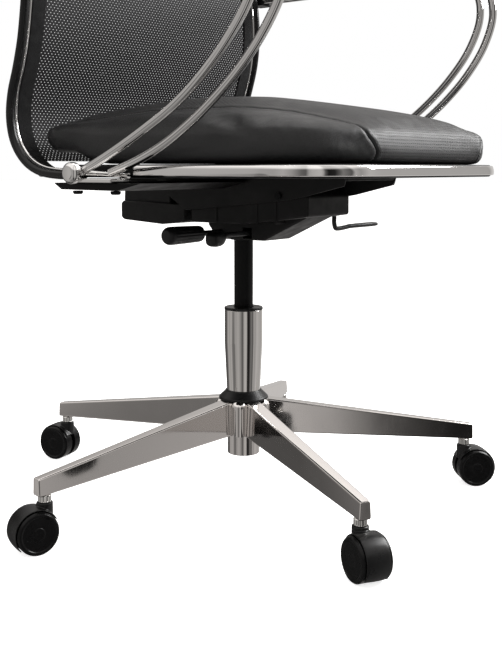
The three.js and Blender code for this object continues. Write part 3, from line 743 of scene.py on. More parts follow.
def star_base():
    hub = turned("base_star", fillet([(0, 88), (30, 88), (30, 137), (0, 137)], 2, 4), COLUMN_AXIS)
    ring = turned("ring", fillet([(0, BASE_FOOT), (24, BASE_FOOT), (24, 89), (0, 89)], 1.6, 4), COLUMN_AXIS)
    parts = [ring]
    half_step = 180 / len(ARM_ANGLES)
    for angle in ARM_ANGLES:
        parts.append(base_arm(angle))
        turn = Matrix.Rotation(math.radians(angle + half_step), 4, "Z")
        place = COLUMN_AXIS @ turn @ Matrix.Translation((29.5 * MM, 0, 0))
        parts.append(turned("tongue", dome(13.5, 88, 141), place, 40))
    base = union(hub, *parts)
    taper = [(0, 53), (20.5, 53), (20.5, 90.7), (21.8, 90.7), (25.3, 151), (0, 151)]
    bore = turned("bore", taper, COLUMN_AXIS)
    seat = rod(37.3, 137, 151, COLUMN_AXIS)
    pins = [rod(5.3, 60, 82.3, Matrix.Translation(at(*stem_place(angle), 0)), 24) for angle in ARM_ANGLES]
    difference(base, bore, seat, *pins)
    dress(base, "base", "polished_base", CASTING, "star_base", angle=28)


def column():
    collar = turned("hub_collar_ring", fillet([(24.55, 137.3), (37, 137.3), (36.4, 140.6), (27, 149.6),
                                               (26.4, 151), (25.35, 151)], 1.2, 4), COLUMN_AXIS, closed=True)
    dress(collar, "base", "black_plastic", PLASTIC, "hub_collar")
    tube = turned("column_tube_shell", fillet(
        [(0, 91), (21.5, 91), (25, 151), (28.3, 222), (28.3, 270.7), (25.7, 270.7), (25.7, 222), (22.4, 151),
         (18.9, 96), (0, 96)], 0.9, 4), COLUMN_AXIS, 96)
    dress(tube, "base", "polished_column", COLUMN, "column_tube", angle=50)
    bush = turned("column_bush", fillet(
        [(14.4, 226), (25.3, 226), (25.3, 271), (28.6, 271), (28.6, 273.6), (27.6, 274.5), (15.4, 274.5),
         (14.4, 273.5), (14.4, 226)], 0.5, 3)[:-1], COLUMN_AXIS, closed=True)
    dress(bush, "base", "black_plastic", PLASTIC, "column_top_bush")
    cylinder = turned("gas_spring", fillet(
        [(0, 366), (6.5, 366), (6.5, 200), (14, 200), (14, 390.5), (12.5, 392), (3.5, 392), (3.5, 378),
         (0, 378)], 0.8, 3), COLUMN_AXIS)
    dress(cylinder, "chassis", "black_steel", PAINT, "gas_cylinder", angle=50)


# ---------------------------------------------------------------- casters
# They are modelled in their own space, with the stem on Z and the wheels trailing along +X.
AXLE = Matrix.Translation(Vector((TRAIL, 0, AXLE_Z)) * MM)
SOCKET_STATIONS = [(57.3, 7.8, 0), (58, 8.5, 0), (58.4, 8.5, 0.45), (64.6, 8.5, 0.45), (65, 8.5, 0),
                   (65.7, 7.8, 0)]


def hood_shape():
    """The cover over both wheels, the web between them and the neck that holds the stem, in one piece."""
    rear, front = math.radians(-42), math.radians(152)
    outer, inner, half = 30.4, WHEEL_RADIUS + 0.9, 16.5
    section = [(outer - 0.9 * (y / half) ** 2, y) for y in np.linspace(half - 0.6, 0.6 - half, 9)]
    section += [(inner + 0.6, -half), (inner, 0.6 - half), (inner, half - 0.6), (inner + 0.6, half)]
    cover = []
    for i in range(57):
        turn = rear + (front - rear) * i / 56
        cover.append([Vector((TRAIL + r * math.cos(turn), y, AXLE_Z + r * math.sin(turn))) * MM
                      for r, y in section])
    web = arc(inner + 0.5, rear, front, 30) + arc(21, front, rear + 2 * math.pi, 30)
    disc = to_object("disc", plate(web, -3.4, 3.4, lambda u, v, w: Vector((TRAIL + u, w, AXLE_Z + v)) * MM))
    neck = to_object("neck", lathe(fillet([(0, 36), (10.5, 36), (10.5, 57), (0, 57)], 1.8, 4), 48))
    rooms = []
    for side in (-1, 1):
        room = to_object("room", lathe([(0, 3.4), (28.3, 3.4), (28.3, 30), (0, 30)], 64))
        rooms.append(moved(room, AXLE @ Matrix.Rotation(-side * math.pi / 2, 4, "X")))
    shell = to_object("hood", skin(cover))
    union(shell, disc, neck)
    difference(shell, *rooms)
    remesh(shell, 0.75, 5)
    thin = shell.modifiers.new("thin", "DECIMATE")
    thin.ratio = 0.22
    return settle(shell)


def casters():
    """Five twin-wheel casters, each turned to its own heading."""
    hood = hood_shape()
    corners = [(0, 16), (3.3, 16), (3.3, 4.2), (WHEEL_RADIUS, 4.2), (WHEEL_RADIUS, 18.4), (25.4, 21),
               (22.9, 21), (21.6, 19.6), (8.4, 19.6), (7.6, 20.3), (0, 20.3)]
    wheel_profile = fillet(corners, 0.8, 4)
    for number, (angle, trail_angle) in enumerate(zip(ARM_ANGLES, CASTER_HEADINGS), 1):
        trailing = Matrix.Rotation(math.radians(trail_angle), 4, "Z")
        place = Matrix.Translation(at(*stem_place(angle), 0)) @ trailing
        body = f"caster_{number}"
        shell = bpy.data.objects.new(f"{body}_hood_shell", hood.data.copy())
        scene.collection.objects.link(shell)
        dress(moved(shell, place), f"{body}_fork", "caster_black", HOOD, f"{body}_hood", angle=50, soft=True)
        collar = fluted(SOCKET_STATIONS, 18, lambda w, u, v: Vector((u, v, w)) * MM)
        socket = to_object(f"{body}_socket", collar)
        pin = to_object("pin", lathe(fillet([(0, 47.5), (5, 47.5), (5, 82), (0, 82)], 0.8, 3), 32))
        union(socket, pin)
        dress(moved(socket, place), f"{body}_fork", "chrome_stem", SOCKET, f"{body}_stem", angle=30)
        for name, side in (("left", 1), ("right", -1)):
            wheel = to_object(f"{body}_tyre_{name}", lathe(wheel_profile, 80))
            moved(wheel, place @ AXLE @ Matrix.Rotation(-side * math.pi / 2, 4, "X"))
            dress(wheel, f"{body}_roller_{name}", "wheel_black", WHEEL, f"{body}_wheel_{name}")
    bpy.data.objects.remove(hood)


# ---------------------------------------------------------------- mechanism
# (y, z) of the axles that run across the chair
TILT_AXLE_AT = (-110, 441)
HEIGHT_LEVER_AT = (-32, 386)
TENSION_HANDLE_AT = (17, 386)
LOCK_LEVER_AT = (-105, 423)


def housing():
    """The cast case under the seat, with its keel, slats, boss and the bores for its axles."""
    body = [(56, 400), (-40, 400), (-120, 409), (-148, 413), (-148, 440), (-136, 449), (-96, 450), (56, 419)]
    keel = [(24, 376), (-60, 376), (-134, 411), (-134, 425), (40, 410), (40, 396)]
    case = slab("mechanism_case", body, -54, 54, 3.2, 4)
    rib = slab("keel", keel, -34, 34, 3, 4)
    boss = turned("boss", fillet([(0, 374), (20, 374), (20, 405), (0, 405)], 1.6, 4), COLUMN_AXIS)
    parts = [rib, boss]
    for y in (-96, -64, 8):
        slat = [(y - 1.6, 402), (y + 1.6, 402), (y + 1.6, 428 - 0.12 * y), (y - 1.6, 428 - 0.12 * y)]
        parts.append(slab("slat", slat, -55.2, 55.2, 0.8, 2))
    union(case, *parts)
    tools = [rod(14.3, 368, 392.3, COLUMN_AXIS)]
    bores = ((5.3, -60, 60, TILT_AXLE_AT), (4.4, -40, -16, TENSION_HANDLE_AT), (4, 38, 60, LOCK_LEVER_AT))
    for radius, low, high, place in bores:
        tools.append(rod(radius, low, high, along_x(*place), 32))
    y, z = HEIGHT_LEVER_AT
    pocket = [(y - 8, z - 8), (y + 8, z - 8), (y + 8, z + 8), (y - 8, z + 8)]
    tools.append(to_object("pocket", plate(pocket, -42, -10, side_view)))
    difference(case, *tools)
    dress(case, "chassis", "mechanism_black", CAST_BLACK, "mechanism_housing", angle=30)


def paddle(name, stations, y):
    """A lever blade: oval sections at x, with half width and half height, about height z."""
    loops = []
    for x, half_width, half_height, z in stations:
        loops.append([at(x, y + half_width * abs(u) ** 0.72 * math.copysign(1, u),
                         z + half_height * abs(v) ** 0.72 * math.copysign(1, v)) for u, v in circle(1, 28)])
    return to_object(name, skin(loops))


def levers():
    """The height lever, the tension handle's fluted grip and the cranked lock lever."""
    height = paddle("height_lever_blade", [
        (-120, 3.2, 3.2, 381.5), (-119.2, 6.4, 6.2, 381.5), (-117, 8.8, 8.6, 381.5),
        (-113.5, 10.4, 10, 381.5), (-109, 11, 10.5, 381.5), (-102, 10.4, 10.3, 381.7),
        (-96, 8.8, 9.4, 382.4), (-91, 6.6, 7.4, 383.8), (-87, 4.6, 5, 385.3), (-83, 3.7, 3.7, 386),
        (-30, 3.6, 3.6, 386), (-14, 3.6, 3.6, 386)], HEIGHT_LEVER_AT[0])
    dress(height, "height_control", "lever_black", LEVER, "height_lever", angle=40)

    y, z = TENSION_HANDLE_AT
    grip = to_object("tension_grip", fluted([
        (-153, 6.6, 0), (-152.2, 8.4, 0), (-150.5, 10.6, 0), (-148, 12, 0), (-145, 12.6, 0),
        (-142, 12.7, 0.7), (-115, 12.3, 0.7), (-88, 11.7, 0.7), (-85, 11.6, 0), (-82, 11.2, 0),
        (-79, 9, 0), (-77, 7, 0), (-76.6, 4, 0), (-18, 4, 0)], 16, lambda x, u, v: at(x, y + u, z + v)))
    dress(grip, "tension_control", "lever_black", LEVER, "tension_handle", angle=40)

    y, z = LOCK_LEVER_AT
    bends = [(42, z), (75, z), (81, z - 4), (82.5, z - 15), (82.5, z - 25), (86, z - 32.5), (94, z - 33.7),
             (130, z - 31.5)]
    route = [at(x, y, height) for x, height in bends]
    crank = to_object("tilt_lock_crank", sweep(smooth_path(route, 48), circle(3.4, 20), Vector((0, 1, 0))))
    blade = paddle("blade", [
        (118, 3.2, 2.6, 391), (127, 4.8, 3.2, 391.3), (150, 6.2, 3.4, 391.5), (180, 7.4, 3.4, 391.5),
        (196, 7.8, 3.3, 391.5), (202, 6.4, 2.9, 391.5), (204.5, 3.8, 1.9, 391.5)], y)
    union(crank, blade)
    dress(crank, "lock_control", "lever_black", LEVER, "tilt_lock_lever", angle=40)


# ---------------------------------------------------------------- seat structure
def seat_outline(inset, rear, rear_corner, steps=16):
    """Plan outline of the seat, closed, from its left rear corner round the front."""
    half, front, corner = SEAT_HALF - inset, SEAT_FRONT + inset, SEAT_CORNER - inset
    out = []
    corners = [
        (-half + corner, front + corner, corner, 180),
        (half - corner, front + corner, corner, 270),
        (half - rear_corner, rear - rear_corner, rear_corner, 0),
        (-half + rear_corner, rear - rear_corner, rear_corner, 90),
    ]
    for cx, cy, radius, start in corners:
        out += arc(radius, math.radians(start), math.radians(start + 90), steps, cx, cy)
    return out


SEAT_PLATE_HALF = 68
SEAT_PLATE_TOP = 466
RAIL_HEIGHT = 475
RAIL_END = -21


def seat_structure():
    """The folded plate on the tilt axle, the carrier behind it, the pan and the chrome rail at its edge."""
    flange = [(112, 466), (98, 446), (55, 418), (-120, 435), (-150, 440), (-212, 455), (-215, 466)]
    sheet = plate(rounded_box(SEAT_PLATE_HALF, 202, 8), SEAT_PLATE_TOP - 4.3, SEAT_PLATE_TOP,
                  lambda u, v, w: at(u, v - 12, w))
    deck = bevel(to_object("seat_deck", sheet), 0.9, 2)
    walls = [slab("wall", flange, x, x + 3, 0.8, 2) for x in (-SEAT_PLATE_HALF, SEAT_PLATE_HALF - 3)]
    union(deck, *walls)
    difference(deck, rod(5.3, -80, 80, along_x(*TILT_AXLE_AT), 32))
    dress(deck, "recliner", "mechanism_black", CAST_BLACK, "seat_plate", angle=30)

    upper = [(98, 424), (192, 428), (190, 461.4), (98, 461.4)]
    lower = [(66, 400), (112, 395), (190, 400), (195, 404), (195, 425), (191, 429), (150, 429), (66, 426)]
    carrier = slab("back_carrier_case", upper, -52, 52, 2.4)
    union(carrier, slab("lower", lower, -56, 56, 4, 4))
    dress(carrier, "recliner", "mechanism_black", CAST_BLACK, "back_carrier", angle=30)

    tray = plate(seat_outline(4.4, 118, 36), SEAT_PLATE_TOP + 0.3, SEAT_PLATE_TOP + 16.8, plan_view)
    pan = bevel(to_object("seat_pan_shell", tray), 3, 4, 50)
    dress(pan, "recliner", "pan_black", PAN, "seat_pan", angle=40)

    inset, steps = 2, 28
    both_corners = seat_outline(inset, 60, 20, steps)[:2 * (steps + 1)]
    end = SEAT_HALF - inset
    rail = [at(x, y, RAIL_HEIGHT) for x, y in [(-end, RAIL_END), *both_corners, (end, RAIL_END)]]
    face = [(2.0 - 2.2 * (max(0, v + 2) / 8.5) ** 2 - 0.3 * (min(0, v + 2) / 3.6) ** 2, v)
            for v in np.linspace(-5.6, 5.8, 13)]
    face += [(-0.3, 6.4), (-1.4, 6.5), (-2, 5.9), (-2, -5.9), (-1.4, -6.5), (0.4, -6.4)]
    strip = to_object("seat_rail", sweep(smooth_path(rail, 220), face))
    dress(strip, "recliner", "chrome_trim", CHROME, "seat_trim", angle=50)


# ---------------------------------------------------------------- arms
BOLT_X = 272
LUG_REAR = 56
SOLE_TOP = 465.5
CAP_AT = (46, 472)


def arm_parts(name, side):
    """One arm: its tubes, bracket, plate, bolts, clamp and rest; side is -1 or 1."""
    for route, x, kind in ((OUTER_ROUTE, ARM_OUTER_X, "outer"), (INNER_ROUTE, ARM_INNER_X, "inner")):
        path = smooth_path([at(side * x, y, z) for y, z in route], 150)
        tube = to_object(f"arm_loop_{kind}_{name}", sweep(path, circle(ARM_TUBE_RADIUS, 28)))
        dress(tube, "recliner", "chrome_arm", CHROME, f"arm_tube_{kind}_{name}", angle=50)

    y, z = CAP_AT
    flip = Matrix.Translation(at(0, y, z)) @ Matrix.Rotation(side * math.pi / 2, 4, "Y")
    disc = [(0, 291.5), (13.8, 291.5), (13.8, 300), (9.5, 304.4), (0, 305)]
    cap = turned("bracket_" + name, fillet(disc, 2.4, 6), flip, 64)
    x0, x1 = sorted((side * 270, side * 292.5))
    lug = [(y, 461), (LUG_REAR, 461), (LUG_REAR, z + 5), (y, z + 5)]
    sole = [(-19, 460), (LUG_REAR, 460), (LUG_REAR, SOLE_TOP), (-19, SOLE_TOP)]
    s0, s1 = sorted((side * 259, side * 294))
    pieces = [slab("lug", lug, x0, x1, 1.5), slab("sole", sole, s0, s1, 1.5)]
    bends = [(BOLT_X, 50, z), (261, 34, 471.4), (261, -18, 468.6)]
    bar = smooth_path([at(side * x, *rest) for x, *rest in bends], 40)
    pieces.append(to_object("bar", sweep(bar, circle(3.4, 20), Vector((1, 0, 0)))))
    union(cap, *pieces)
    dress(cap, "recliner", "chrome_trim", CHROME, f"arm_bracket_{name}", angle=35)

    outline = [(95, 459.7), (80, 451), (-17, 450), (-60, 459.7)]
    p0, p1 = sorted((side * 68.3, side * 284))
    support = slab(f"arm_support_{name}", outline, p0, p1, 1.6)
    dress(support, "recliner", "black_steel", PAINT, f"arm_plate_{name}", angle=30)

    for label, bolt_y in (("front", -6), ("rear", 61)):
        place = Matrix.Translation(at(side * BOLT_X, bolt_y, 0))
        button = [(0, 445), (5, 445), (6.5, 446.6), (6.5, 449.6), (0, 449.6)]
        head = turned(f"arm_screw_{label}_{name}", fillet(button, 0.9, 4), place, 36)
        recess = plate(circle(3, 6), 444, 447.6, lambda u, v, w: place @ (Vector((u, v, w)) * MM))
        difference(head, to_object("hexagon", recess))
        dress(head, "recliner", "black_steel", PAINT, f"arm_bolt_{label}_{name}", angle=30)

    c0, c1 = sorted((side * 263, side * 294))
    block = [(158.3, 763), (184, 763), (184, 781), (158.3, 781)]
    clamp = slab(f"arm_clamp_block_{name}", block, c0, c1, 2.5, 4)
    dress(clamp, "recliner", "black_steel", PAINT, f"arm_clamp_{name}", angle=30)
    arm_pad(name, side)


def arm_pad(name, side):
    """Moulded soft pad: flat underside, rounded shoulders, slightly dished top with a parting line below."""
    middle = side * (ARM_OUTER_X + ARM_INNER_X) / 2
    radius, front, rear, low, high = 27.5, -214, 50, 779.2, 803

    def outline(inset):
        nose = arc(radius - inset, math.pi, 2 * math.pi, 24, middle, front + radius)
        return nose + arc(radius - inset, 0, math.pi, 24, middle, rear - radius)

    rings = [(6, low), (3, low + 0.4), (1.2, low + 1.8), (0.5, low + 4), (0.4, low + 6.2), (1.1, low + 6.8),
             (0.3, low + 7.4), (0, low + 10), (0, high - 9), (0.7, high - 5.5), (2.6, high - 2.6),
             (5.4, high - 0.9), (9, high - 0.1), (13, high - 0.2), (18, high - 0.8), (23, high - 1.2)]
    loops = [[at(x, y, z) for x, y in outline(inset)] for inset, z in rings]
    pad = to_object(f"arm_cushion_{name}", skin(loops))
    dress(pad, "recliner", "arm_pad", PAD, f"arm_pad_{name}", angle=60, soft=True)


# ---------------------------------------------------------------- back
def running_length(points):
    """Length in mm from the first point to each of them."""
    return np.concatenate([[0], np.cumsum([(b - a).length for a, b in zip(points, points[1:])])]) / MM


side_curve = smooth_path([at(0, y, z) for y, z in BACK_SIDE], 1400)
side_lengths = running_length(side_curve)
BACK_LENGTH = float(side_lengths[-1])
side_y = np.array([p.y for p in side_curve])
side_z = np.array([p.z for p in side_curve])


def on_back(x, along, lift=0.0):
    """A point on the bent back, x mm across and along mm up its curve, raised towards the rear by lift mm."""
    here = min(max(along, 0.0), BACK_LENGTH)
    y, z = np.interp(here, side_lengths, side_y), np.interp(here, side_lengths, side_z)
    step = 2.0
    low, high = max(here - step, 0), min(here + step, BACK_LENGTH)
    ty = np.interp(high, side_lengths, side_y) - np.interp(low, side_lengths, side_y)
    tz = np.interp(high, side_lengths, side_z) - np.interp(low, side_lengths, side_z)
    size = math.hypot(ty, tz)
    return Vector((AXIS.x + x * MM, y + lift * MM * tz / size, z - lift * MM * ty / size))


def back_half(along):
    """Half the back's width, to the middle of its tube: wide at the foot, narrower at the top."""
    taper = float(smoothstep(along, 300, BACK_LENGTH - BACK_CORNER))
    return BACK_HALF_LOW + (BACK_HALF_HIGH - BACK_HALF_LOW) * taper


def back_edge(inset, start, straight=80, corner=18):
    """One side of the back's outline as (x, along), from a starting length up to the top bar."""
    reach = BACK_CORNER - inset
    corner_start = BACK_LENGTH - BACK_CORNER
    edge = [(back_half(a) - inset, a) for a in np.linspace(start, corner_start, straight + 1)]
    for i in range(1, corner + 1):
        turn = i / corner * math.pi / 2
        x = BACK_HALF_HIGH - BACK_CORNER + reach * math.cos(turn)
        edge.append((x, corner_start + reach * math.sin(turn)))
    return edge


def back_loop(inset, start, foot_lift=0.0):
    """The way round the back at an inset from its tube, raised at both feet by foot_lift mm."""
    edge = back_edge(inset, start)
    raised = [(x, a, foot_lift * float(1 - smoothstep(a, 60, 190))) for x, a in edge]
    return [on_back(-x, a, up) for x, a, up in raised] + [on_back(x, a, up) for x, a, up in reversed(raised)]


TRIM_START = 38
TRIM_LIFT = -6
BAND_START = 78
SHEET_START = BACK_MESH_START + 8
SHEET_INSET = 12
BAND_WIDTH = 24


def back():
    """The bent tube with its cross bar, the chrome line beside it and the panel that it holds."""
    around = smooth_path(back_loop(0, 0), 320)
    tube = to_object("back_frame_tube", sweep(around, circle(BACK_TUBE_RADIUS, 24), Vector((1, 0, 0))))
    bar = turned("bar", fillet([(0, -256), (6, -256), (6, 256), (0, 256)], 1, 3), along_x(150, 472.6), 32)
    union(tube, bar)
    dress(tube, "recliner", "frame_black", FRAME_PAINT, "back_frame", angle=50)
    line = smooth_path(back_loop(BACK_TRIM_INSET, TRIM_START, TRIM_LIFT), 320)
    piping = to_object("back_trim_line", sweep(line, circle(2.1, 14), Vector((1, 0, 0))))
    dress(piping, "recliner", "chrome_trim", CHROME, "back_trim", angle=50)
    back_panel()


def across_and_back(edge):
    """One side's edge mirrored to the other side, then back down it."""
    return [(-x, a) for x, a in edge] + [(x, a) for x, a in reversed(edge)]


def back_panel():
    """The knitted sheet, one surface, and the tape along its edge.

    Each keeps the data for its yarn: the sheet's is millimetres across, along, and from its edge.
    """
    edge = back_edge(SHEET_INSET, SHEET_START)
    columns = 72
    border = [on_back(sign * x, a) for x, a in edge for sign in (-1, 1)]
    border += [on_back(x, BACK_LENGTH - SHEET_INSET) for x in np.linspace(-140, 140, 60)]
    border = np.array(border) / MM
    bm = bmesh.new()
    rows = []
    places = []
    for x, a in edge:
        row = []
        for i in range(columns + 1):
            u = -x + 2 * x * i / columns
            dip = 5.0 * (1 - (u / 250) ** 2) * math.sin(math.pi * min(1, (a - SHEET_START) / 560))
            row.append(bm.verts.new(on_back(u, a, dip * 0.6)))
            places.append((u, a))
        rows.append(row)
    for low, high in zip(rows, rows[1:]):
        for i in range(columns):
            bm.faces.new((low[i], low[i + 1], high[i + 1], high[i]))
    panel = to_object("back_mesh_panel", bm)
    flat = panel.data.attributes.new("flat", "FLOAT_VECTOR", "POINT")
    points = np.array([v.co for v in panel.data.vertices]) / MM
    inward = np.array([np.min(np.linalg.norm(border - p, axis=1)) for p in points])
    data = np.column_stack([np.array(places), inward]).astype(np.float32)
    flat.data.foreach_set("vector", data.ravel())
    dress(panel, "recliner", "back_mesh", KNIT, "back_mesh", angle=60, soft=True)
    outer = back_edge(SHEET_INSET + 0.6, BAND_START)
    inner = back_edge(SHEET_INSET + BAND_WIDTH, BAND_START)
    section = ((0, -1.2), (0.04, -1.7), (0.5, -1.9), (0.96, -1.7), (1, -1.2), (1, 1.2), (0.5, 1.6), (0, 1.2))
    loops = []
    strip = []
    for (x0, a0), (x1, a1) in zip(across_and_back(outer), across_and_back(inner)):
        loop = []
        for t, lift in section:
            loop.append(on_back(x0 + (x1 - x0) * t, a0 + (a1 - a0) * t, lift))
            strip.append(t * BAND_WIDTH)
        loops.append(loop)
    tape = to_object("back_edge_tape", skin(loops))
    weave = tape.data.attributes.new("flat", "FLOAT_VECTOR", "POINT")
    run = running_length([loop[2] for loop in loops])
    data = np.zeros((len(tape.data.vertices), 3), np.float32)
    data[:, 0] = strip
    data[:, 1] = np.repeat(run, len(section))
    weave.data.foreach_set("vector", data.ravel())
    dress(tape, "recliner", "back_mesh", WEBBING, angle=50)


# ---------------------------------------------------------------- seat cushion
CUSHION_MIDDLE = (SEAT_FRONT + CUSHION_REAR) / 2
CUSHION_HALF_DEPTH = (CUSHION_REAR - SEAT_FRONT) / 2
CUSHION_LEVELS = 30  # loops from its foot up to the middle of its top
CLOTH_FRAMES = 20
BLOCK = 4000  # points that are compared at a time


def cushion_crown(x, y):
    """Height of the finished top in mm."""
    along = (y - CUSHION_MIDDLE) / CUSHION_HALF_DEPTH
    front_fall = 24 * (np.maximum(0, 0.35 - along) / 0.88) ** 1.6
    rear_fall = 23 * np.maximum(0, along + 0.2) ** 1.5
    arch = np.sqrt(np.maximum(0, 1 - np.abs(x / CUSHION_HALF) ** 3))
    edge = CUSHION_EDGE + 20 * smoothstep(along, 0, 1)
    return edge + (CUSHION_CROWN - edge - front_fall - rear_fall) * arch


def cushion_foot(y):
    return CUSHION_BOTTOM + 18 * float(smoothstep(y, 50, 120))


def cushion_block(shrink):
    """The form the pad is blown up from, smaller than the finished one by the given millimetres."""
    spokes = 132
    columns = []
    for i in range(spokes):
        turn = 2 * math.pi * i / spokes
        c, s = abs(math.cos(turn)), abs(math.sin(turn))
        power = 4.6 if math.sin(turn) < 0 else 14
        reach = 1 / ((c / CUSHION_HALF) ** power + (s / CUSHION_HALF_DEPTH) ** power) ** (1 / power) - shrink

        def point(scale, height):
            x, y = reach * scale * math.cos(turn), CUSHION_MIDDLE + reach * scale * math.sin(turn)
            return Vector((x, y, height(x, y)))

        def top(x, y):
            return float(cushion_crown(x, y)) - shrink

        def shoulder(x, y):
            return min(top(x, y) + 4, CUSHION_EDGE + 16 + 7 * float(smoothstep(y, 0, 150)))

        column = [
            point(0.955, lambda x, y: cushion_foot(y)),
            point(1, lambda x, y: cushion_foot(y) + 14),
            point(0.985, shoulder),
            point(0.9, lambda x, y: top(x, y) - 3),
            point(0.65, top), point(0.3, top), point(0.03, top),
        ]
        columns.append(smooth_path(column, CUSHION_LEVELS))
    loops = [[at(*column[k]) for column in columns] for k in range(CUSHION_LEVELS)]
    return to_object("seat_pad", skin(loops))


def panel_half(y, z):
    """Half width of the middle panel: wide at the back, narrowing to the front edge and down its face."""
    on_top = np.interp(y, SEAM_ROW, SEAM_HALF)
    return on_top - 18 * smoothstep(-z, -523, -490) * (np.asarray(y) < -200)


SEAM_ROW = [-330, -290, -240, -197, -137, -75, -17, 59, 120, 170]
SEAM_HALF = [158, 160, 161, 163, 172, 184, 194, 203, 207, 208]


def inflate(pad):
    """Blows the pad up with a short cloth simulation, held in along its seams, its foot and its edge."""
    start = np.array([v.co for v in pad.data.vertices])
    local = (start - np.array(at(0, 0, 0))) / MM
    cloth = pad.modifiers.new("blow", "CLOTH")
    cloth.settings.quality = 5
    cloth.settings.mass = 0.3
    cloth.settings.tension_stiffness = 12
    cloth.settings.compression_stiffness = 12
    cloth.settings.bending_stiffness = 2.5
    cloth.settings.use_pressure = True
    cloth.settings.uniform_pressure_force = 4
    cloth.settings.effector_weights.gravity = 0
    cloth.point_cache.frame_start = 1
    cloth.point_cache.frame_end = CLOTH_FRAMES
    for number in range(1, CLOTH_FRAMES + 1):
        scene.frame_set(number)
    graph = bpy.context.evaluated_depsgraph_get()
    blown = np.array([v.co for v in pad.evaluated_get(graph).data.vertices])
    pad.modifiers.clear()
    scene.frame_set(1)
    off_seam = np.abs(np.abs(local[:, 0]) - panel_half(local[:, 1], local[:, 2]))
    room = 1.5 + 5.5 * smoothstep(off_seam, 0, 45)
    room *= smoothstep(local[:, 2], CUSHION_BOTTOM + 2, CUSHION_BOTTOM + 30)
    shift = blown - start
    size = np.linalg.norm(shift, axis=1)
    limit = np.minimum(size, room * MM) / np.maximum(size, 1e-9)
    pad.data.vertices.foreach_set("co", (start + shift * limit[:, None]).astype(np.float32).ravel())
    pad.data.update()


def surface_tree(obj):
    bm = bmesh.new()
    bm.from_mesh(obj.data)
    tree = BVHTree.FromBMesh(bm)
    bm.free()
    return tree


def seam_line(tree, side):
    """Points and normals of one seam on the pad, from its rear edge over the top and down its front."""
    line = []
    for y in np.arange(158, -262, -2.0):
        half = float(panel_half(y, 560))
        hit, normal, _, _ = tree.ray_cast(at(side * half, y, 700), Vector((0, 0, -1)))
        if hit:
            line.append((hit, normal))
    centre = (-235, 505)
    for i in range(90):
        turn = math.radians(112 + i * 1.0)
        out = Vector((0, math.cos(turn), math.sin(turn)))
        half = 158.0
        for _ in range(4):
            origin = at(side * half, centre[0], centre[1])
            hit, normal, _, _ = tree.ray_cast(origin + out * 0.3, -out)
            if hit is None:
                break
            spot = (hit - at(0, 0, 0)) / MM
            half = float(panel_half(spot.y, spot.z))
        if hit is None or spot.z < CUSHION_BOTTOM + 1:
            break
        if (hit - line[-1][0]).length > 0.5 * MM and spot.y < -255:
            line.append((hit, normal))
    return line


def centre_profile(tree):
    """(y, z, run) down the middle of the pad, in mm, for laying out the pierced grid."""
    points = []
    for i in range(150):
        turn = math.radians(40 + i)
        out = Vector((0, math.cos(turn), math.sin(turn)))
        hit, _, _, _ = tree.ray_cast(at(0, -120, 500) + out * 0.5, -out)
        if hit:
            spot = (hit - at(0, 0, 0)) / MM
            points.append((spot.y, spot.z))
    points = np.array(points)
    run = np.concatenate([[0], np.cumsum(np.linalg.norm(np.diff(points, axis=0), axis=1))])
    return points, run


def nearest(points, targets):
    """Distance to and index of the nearest target for each point."""
    distance = np.full(len(points), 1e9)
    index = np.zeros(len(points), int)
    for first in range(0, len(points), BLOCK):
        block = slice(first, first + BLOCK)
        gaps = np.linalg.norm(points[block, None, :] - targets[None, :, :], axis=2)
        index[block] = gaps.argmin(axis=1)
        distance[block] = gaps.min(axis=1)
    return distance, index


def sew(pad, seams):
    """Draws the seams in, puckers the leather beside them and writes the data its material reads."""
    refine = bmesh.new()
    refine.from_mesh(pad.data)
    line = np.array([p for seam in seams for p, _ in seam])
    for reach in (9.0, 4.5):
        points = np.array([v.co for v in refine.verts])
        gaps, _ = nearest(points, line)
        refine.verts.ensure_lookup_table()
        near = [e for e in refine.edges
                if gaps[e.verts[0].index] < reach * MM and gaps[e.verts[1].index] < reach * MM]
        bmesh.ops.subdivide_edges(refine, edges=near, cuts=1, use_grid_fill=True)
        refine.verts.index_update()
    bmesh.ops.triangulate(refine, faces=[f for f in refine.faces if len(f.verts) > 4])
    refine.to_mesh(pad.data)
    refine.free()

    mesh = pad.data
    points = np.array([v.co for v in mesh.vertices])
    normals = np.array([v.normal for v in mesh.vertices])
    local = (points - np.array(at(0, 0, 0))) / MM
    gaps, index = nearest(points, line)
    gaps /= MM
    side = np.where(np.abs(local[:, 0]) < np.abs((line[index, 0] - AXIS.x) / MM), 1.0, -1.0)
    groove = -2.6 * np.exp(-(gaps / 2.0) ** 2)
    roll = 0.9 * np.exp(-((gaps - 6.5) / 4.0) ** 2)
    wave = np.sin(index * 2.0 * 2 * math.pi / 19 + local[:, 1] * 0.11)
    pucker = 0.22 * wave * np.exp(-((gaps - 7) / 7) ** 2)
    crease = wrinkles(local)
    lift = (groove + roll + pucker + crease) * MM
    lift *= smoothstep(local[:, 2], CUSHION_BOTTOM - 1, CUSHION_BOTTOM + 6)
    mesh.vertices.foreach_set("co", (points + normals * lift[:, None]).astype(np.float32).ravel())
    mesh.update()

    profile, run = centre_profile(surface_tree(pad))
    step = 0.5
    dense = np.column_stack([np.interp(np.arange(0, run[-1], step), run, profile[:, k]) for k in (0, 1)])
    _, place = nearest(local[:, 1:3], dense)
    for name, values in (("seam", gaps), ("panel", gaps * side)):
        mesh.attributes.new(name, "FLOAT", "POINT").data.foreach_set("value", values.astype(np.float32))
    flat = np.column_stack([local[:, 0], step * place, local[:, 2]]).astype(np.float32)
    mesh.attributes.new("flat", "FLOAT_VECTOR", "POINT").data.foreach_set("vector", flat.ravel())


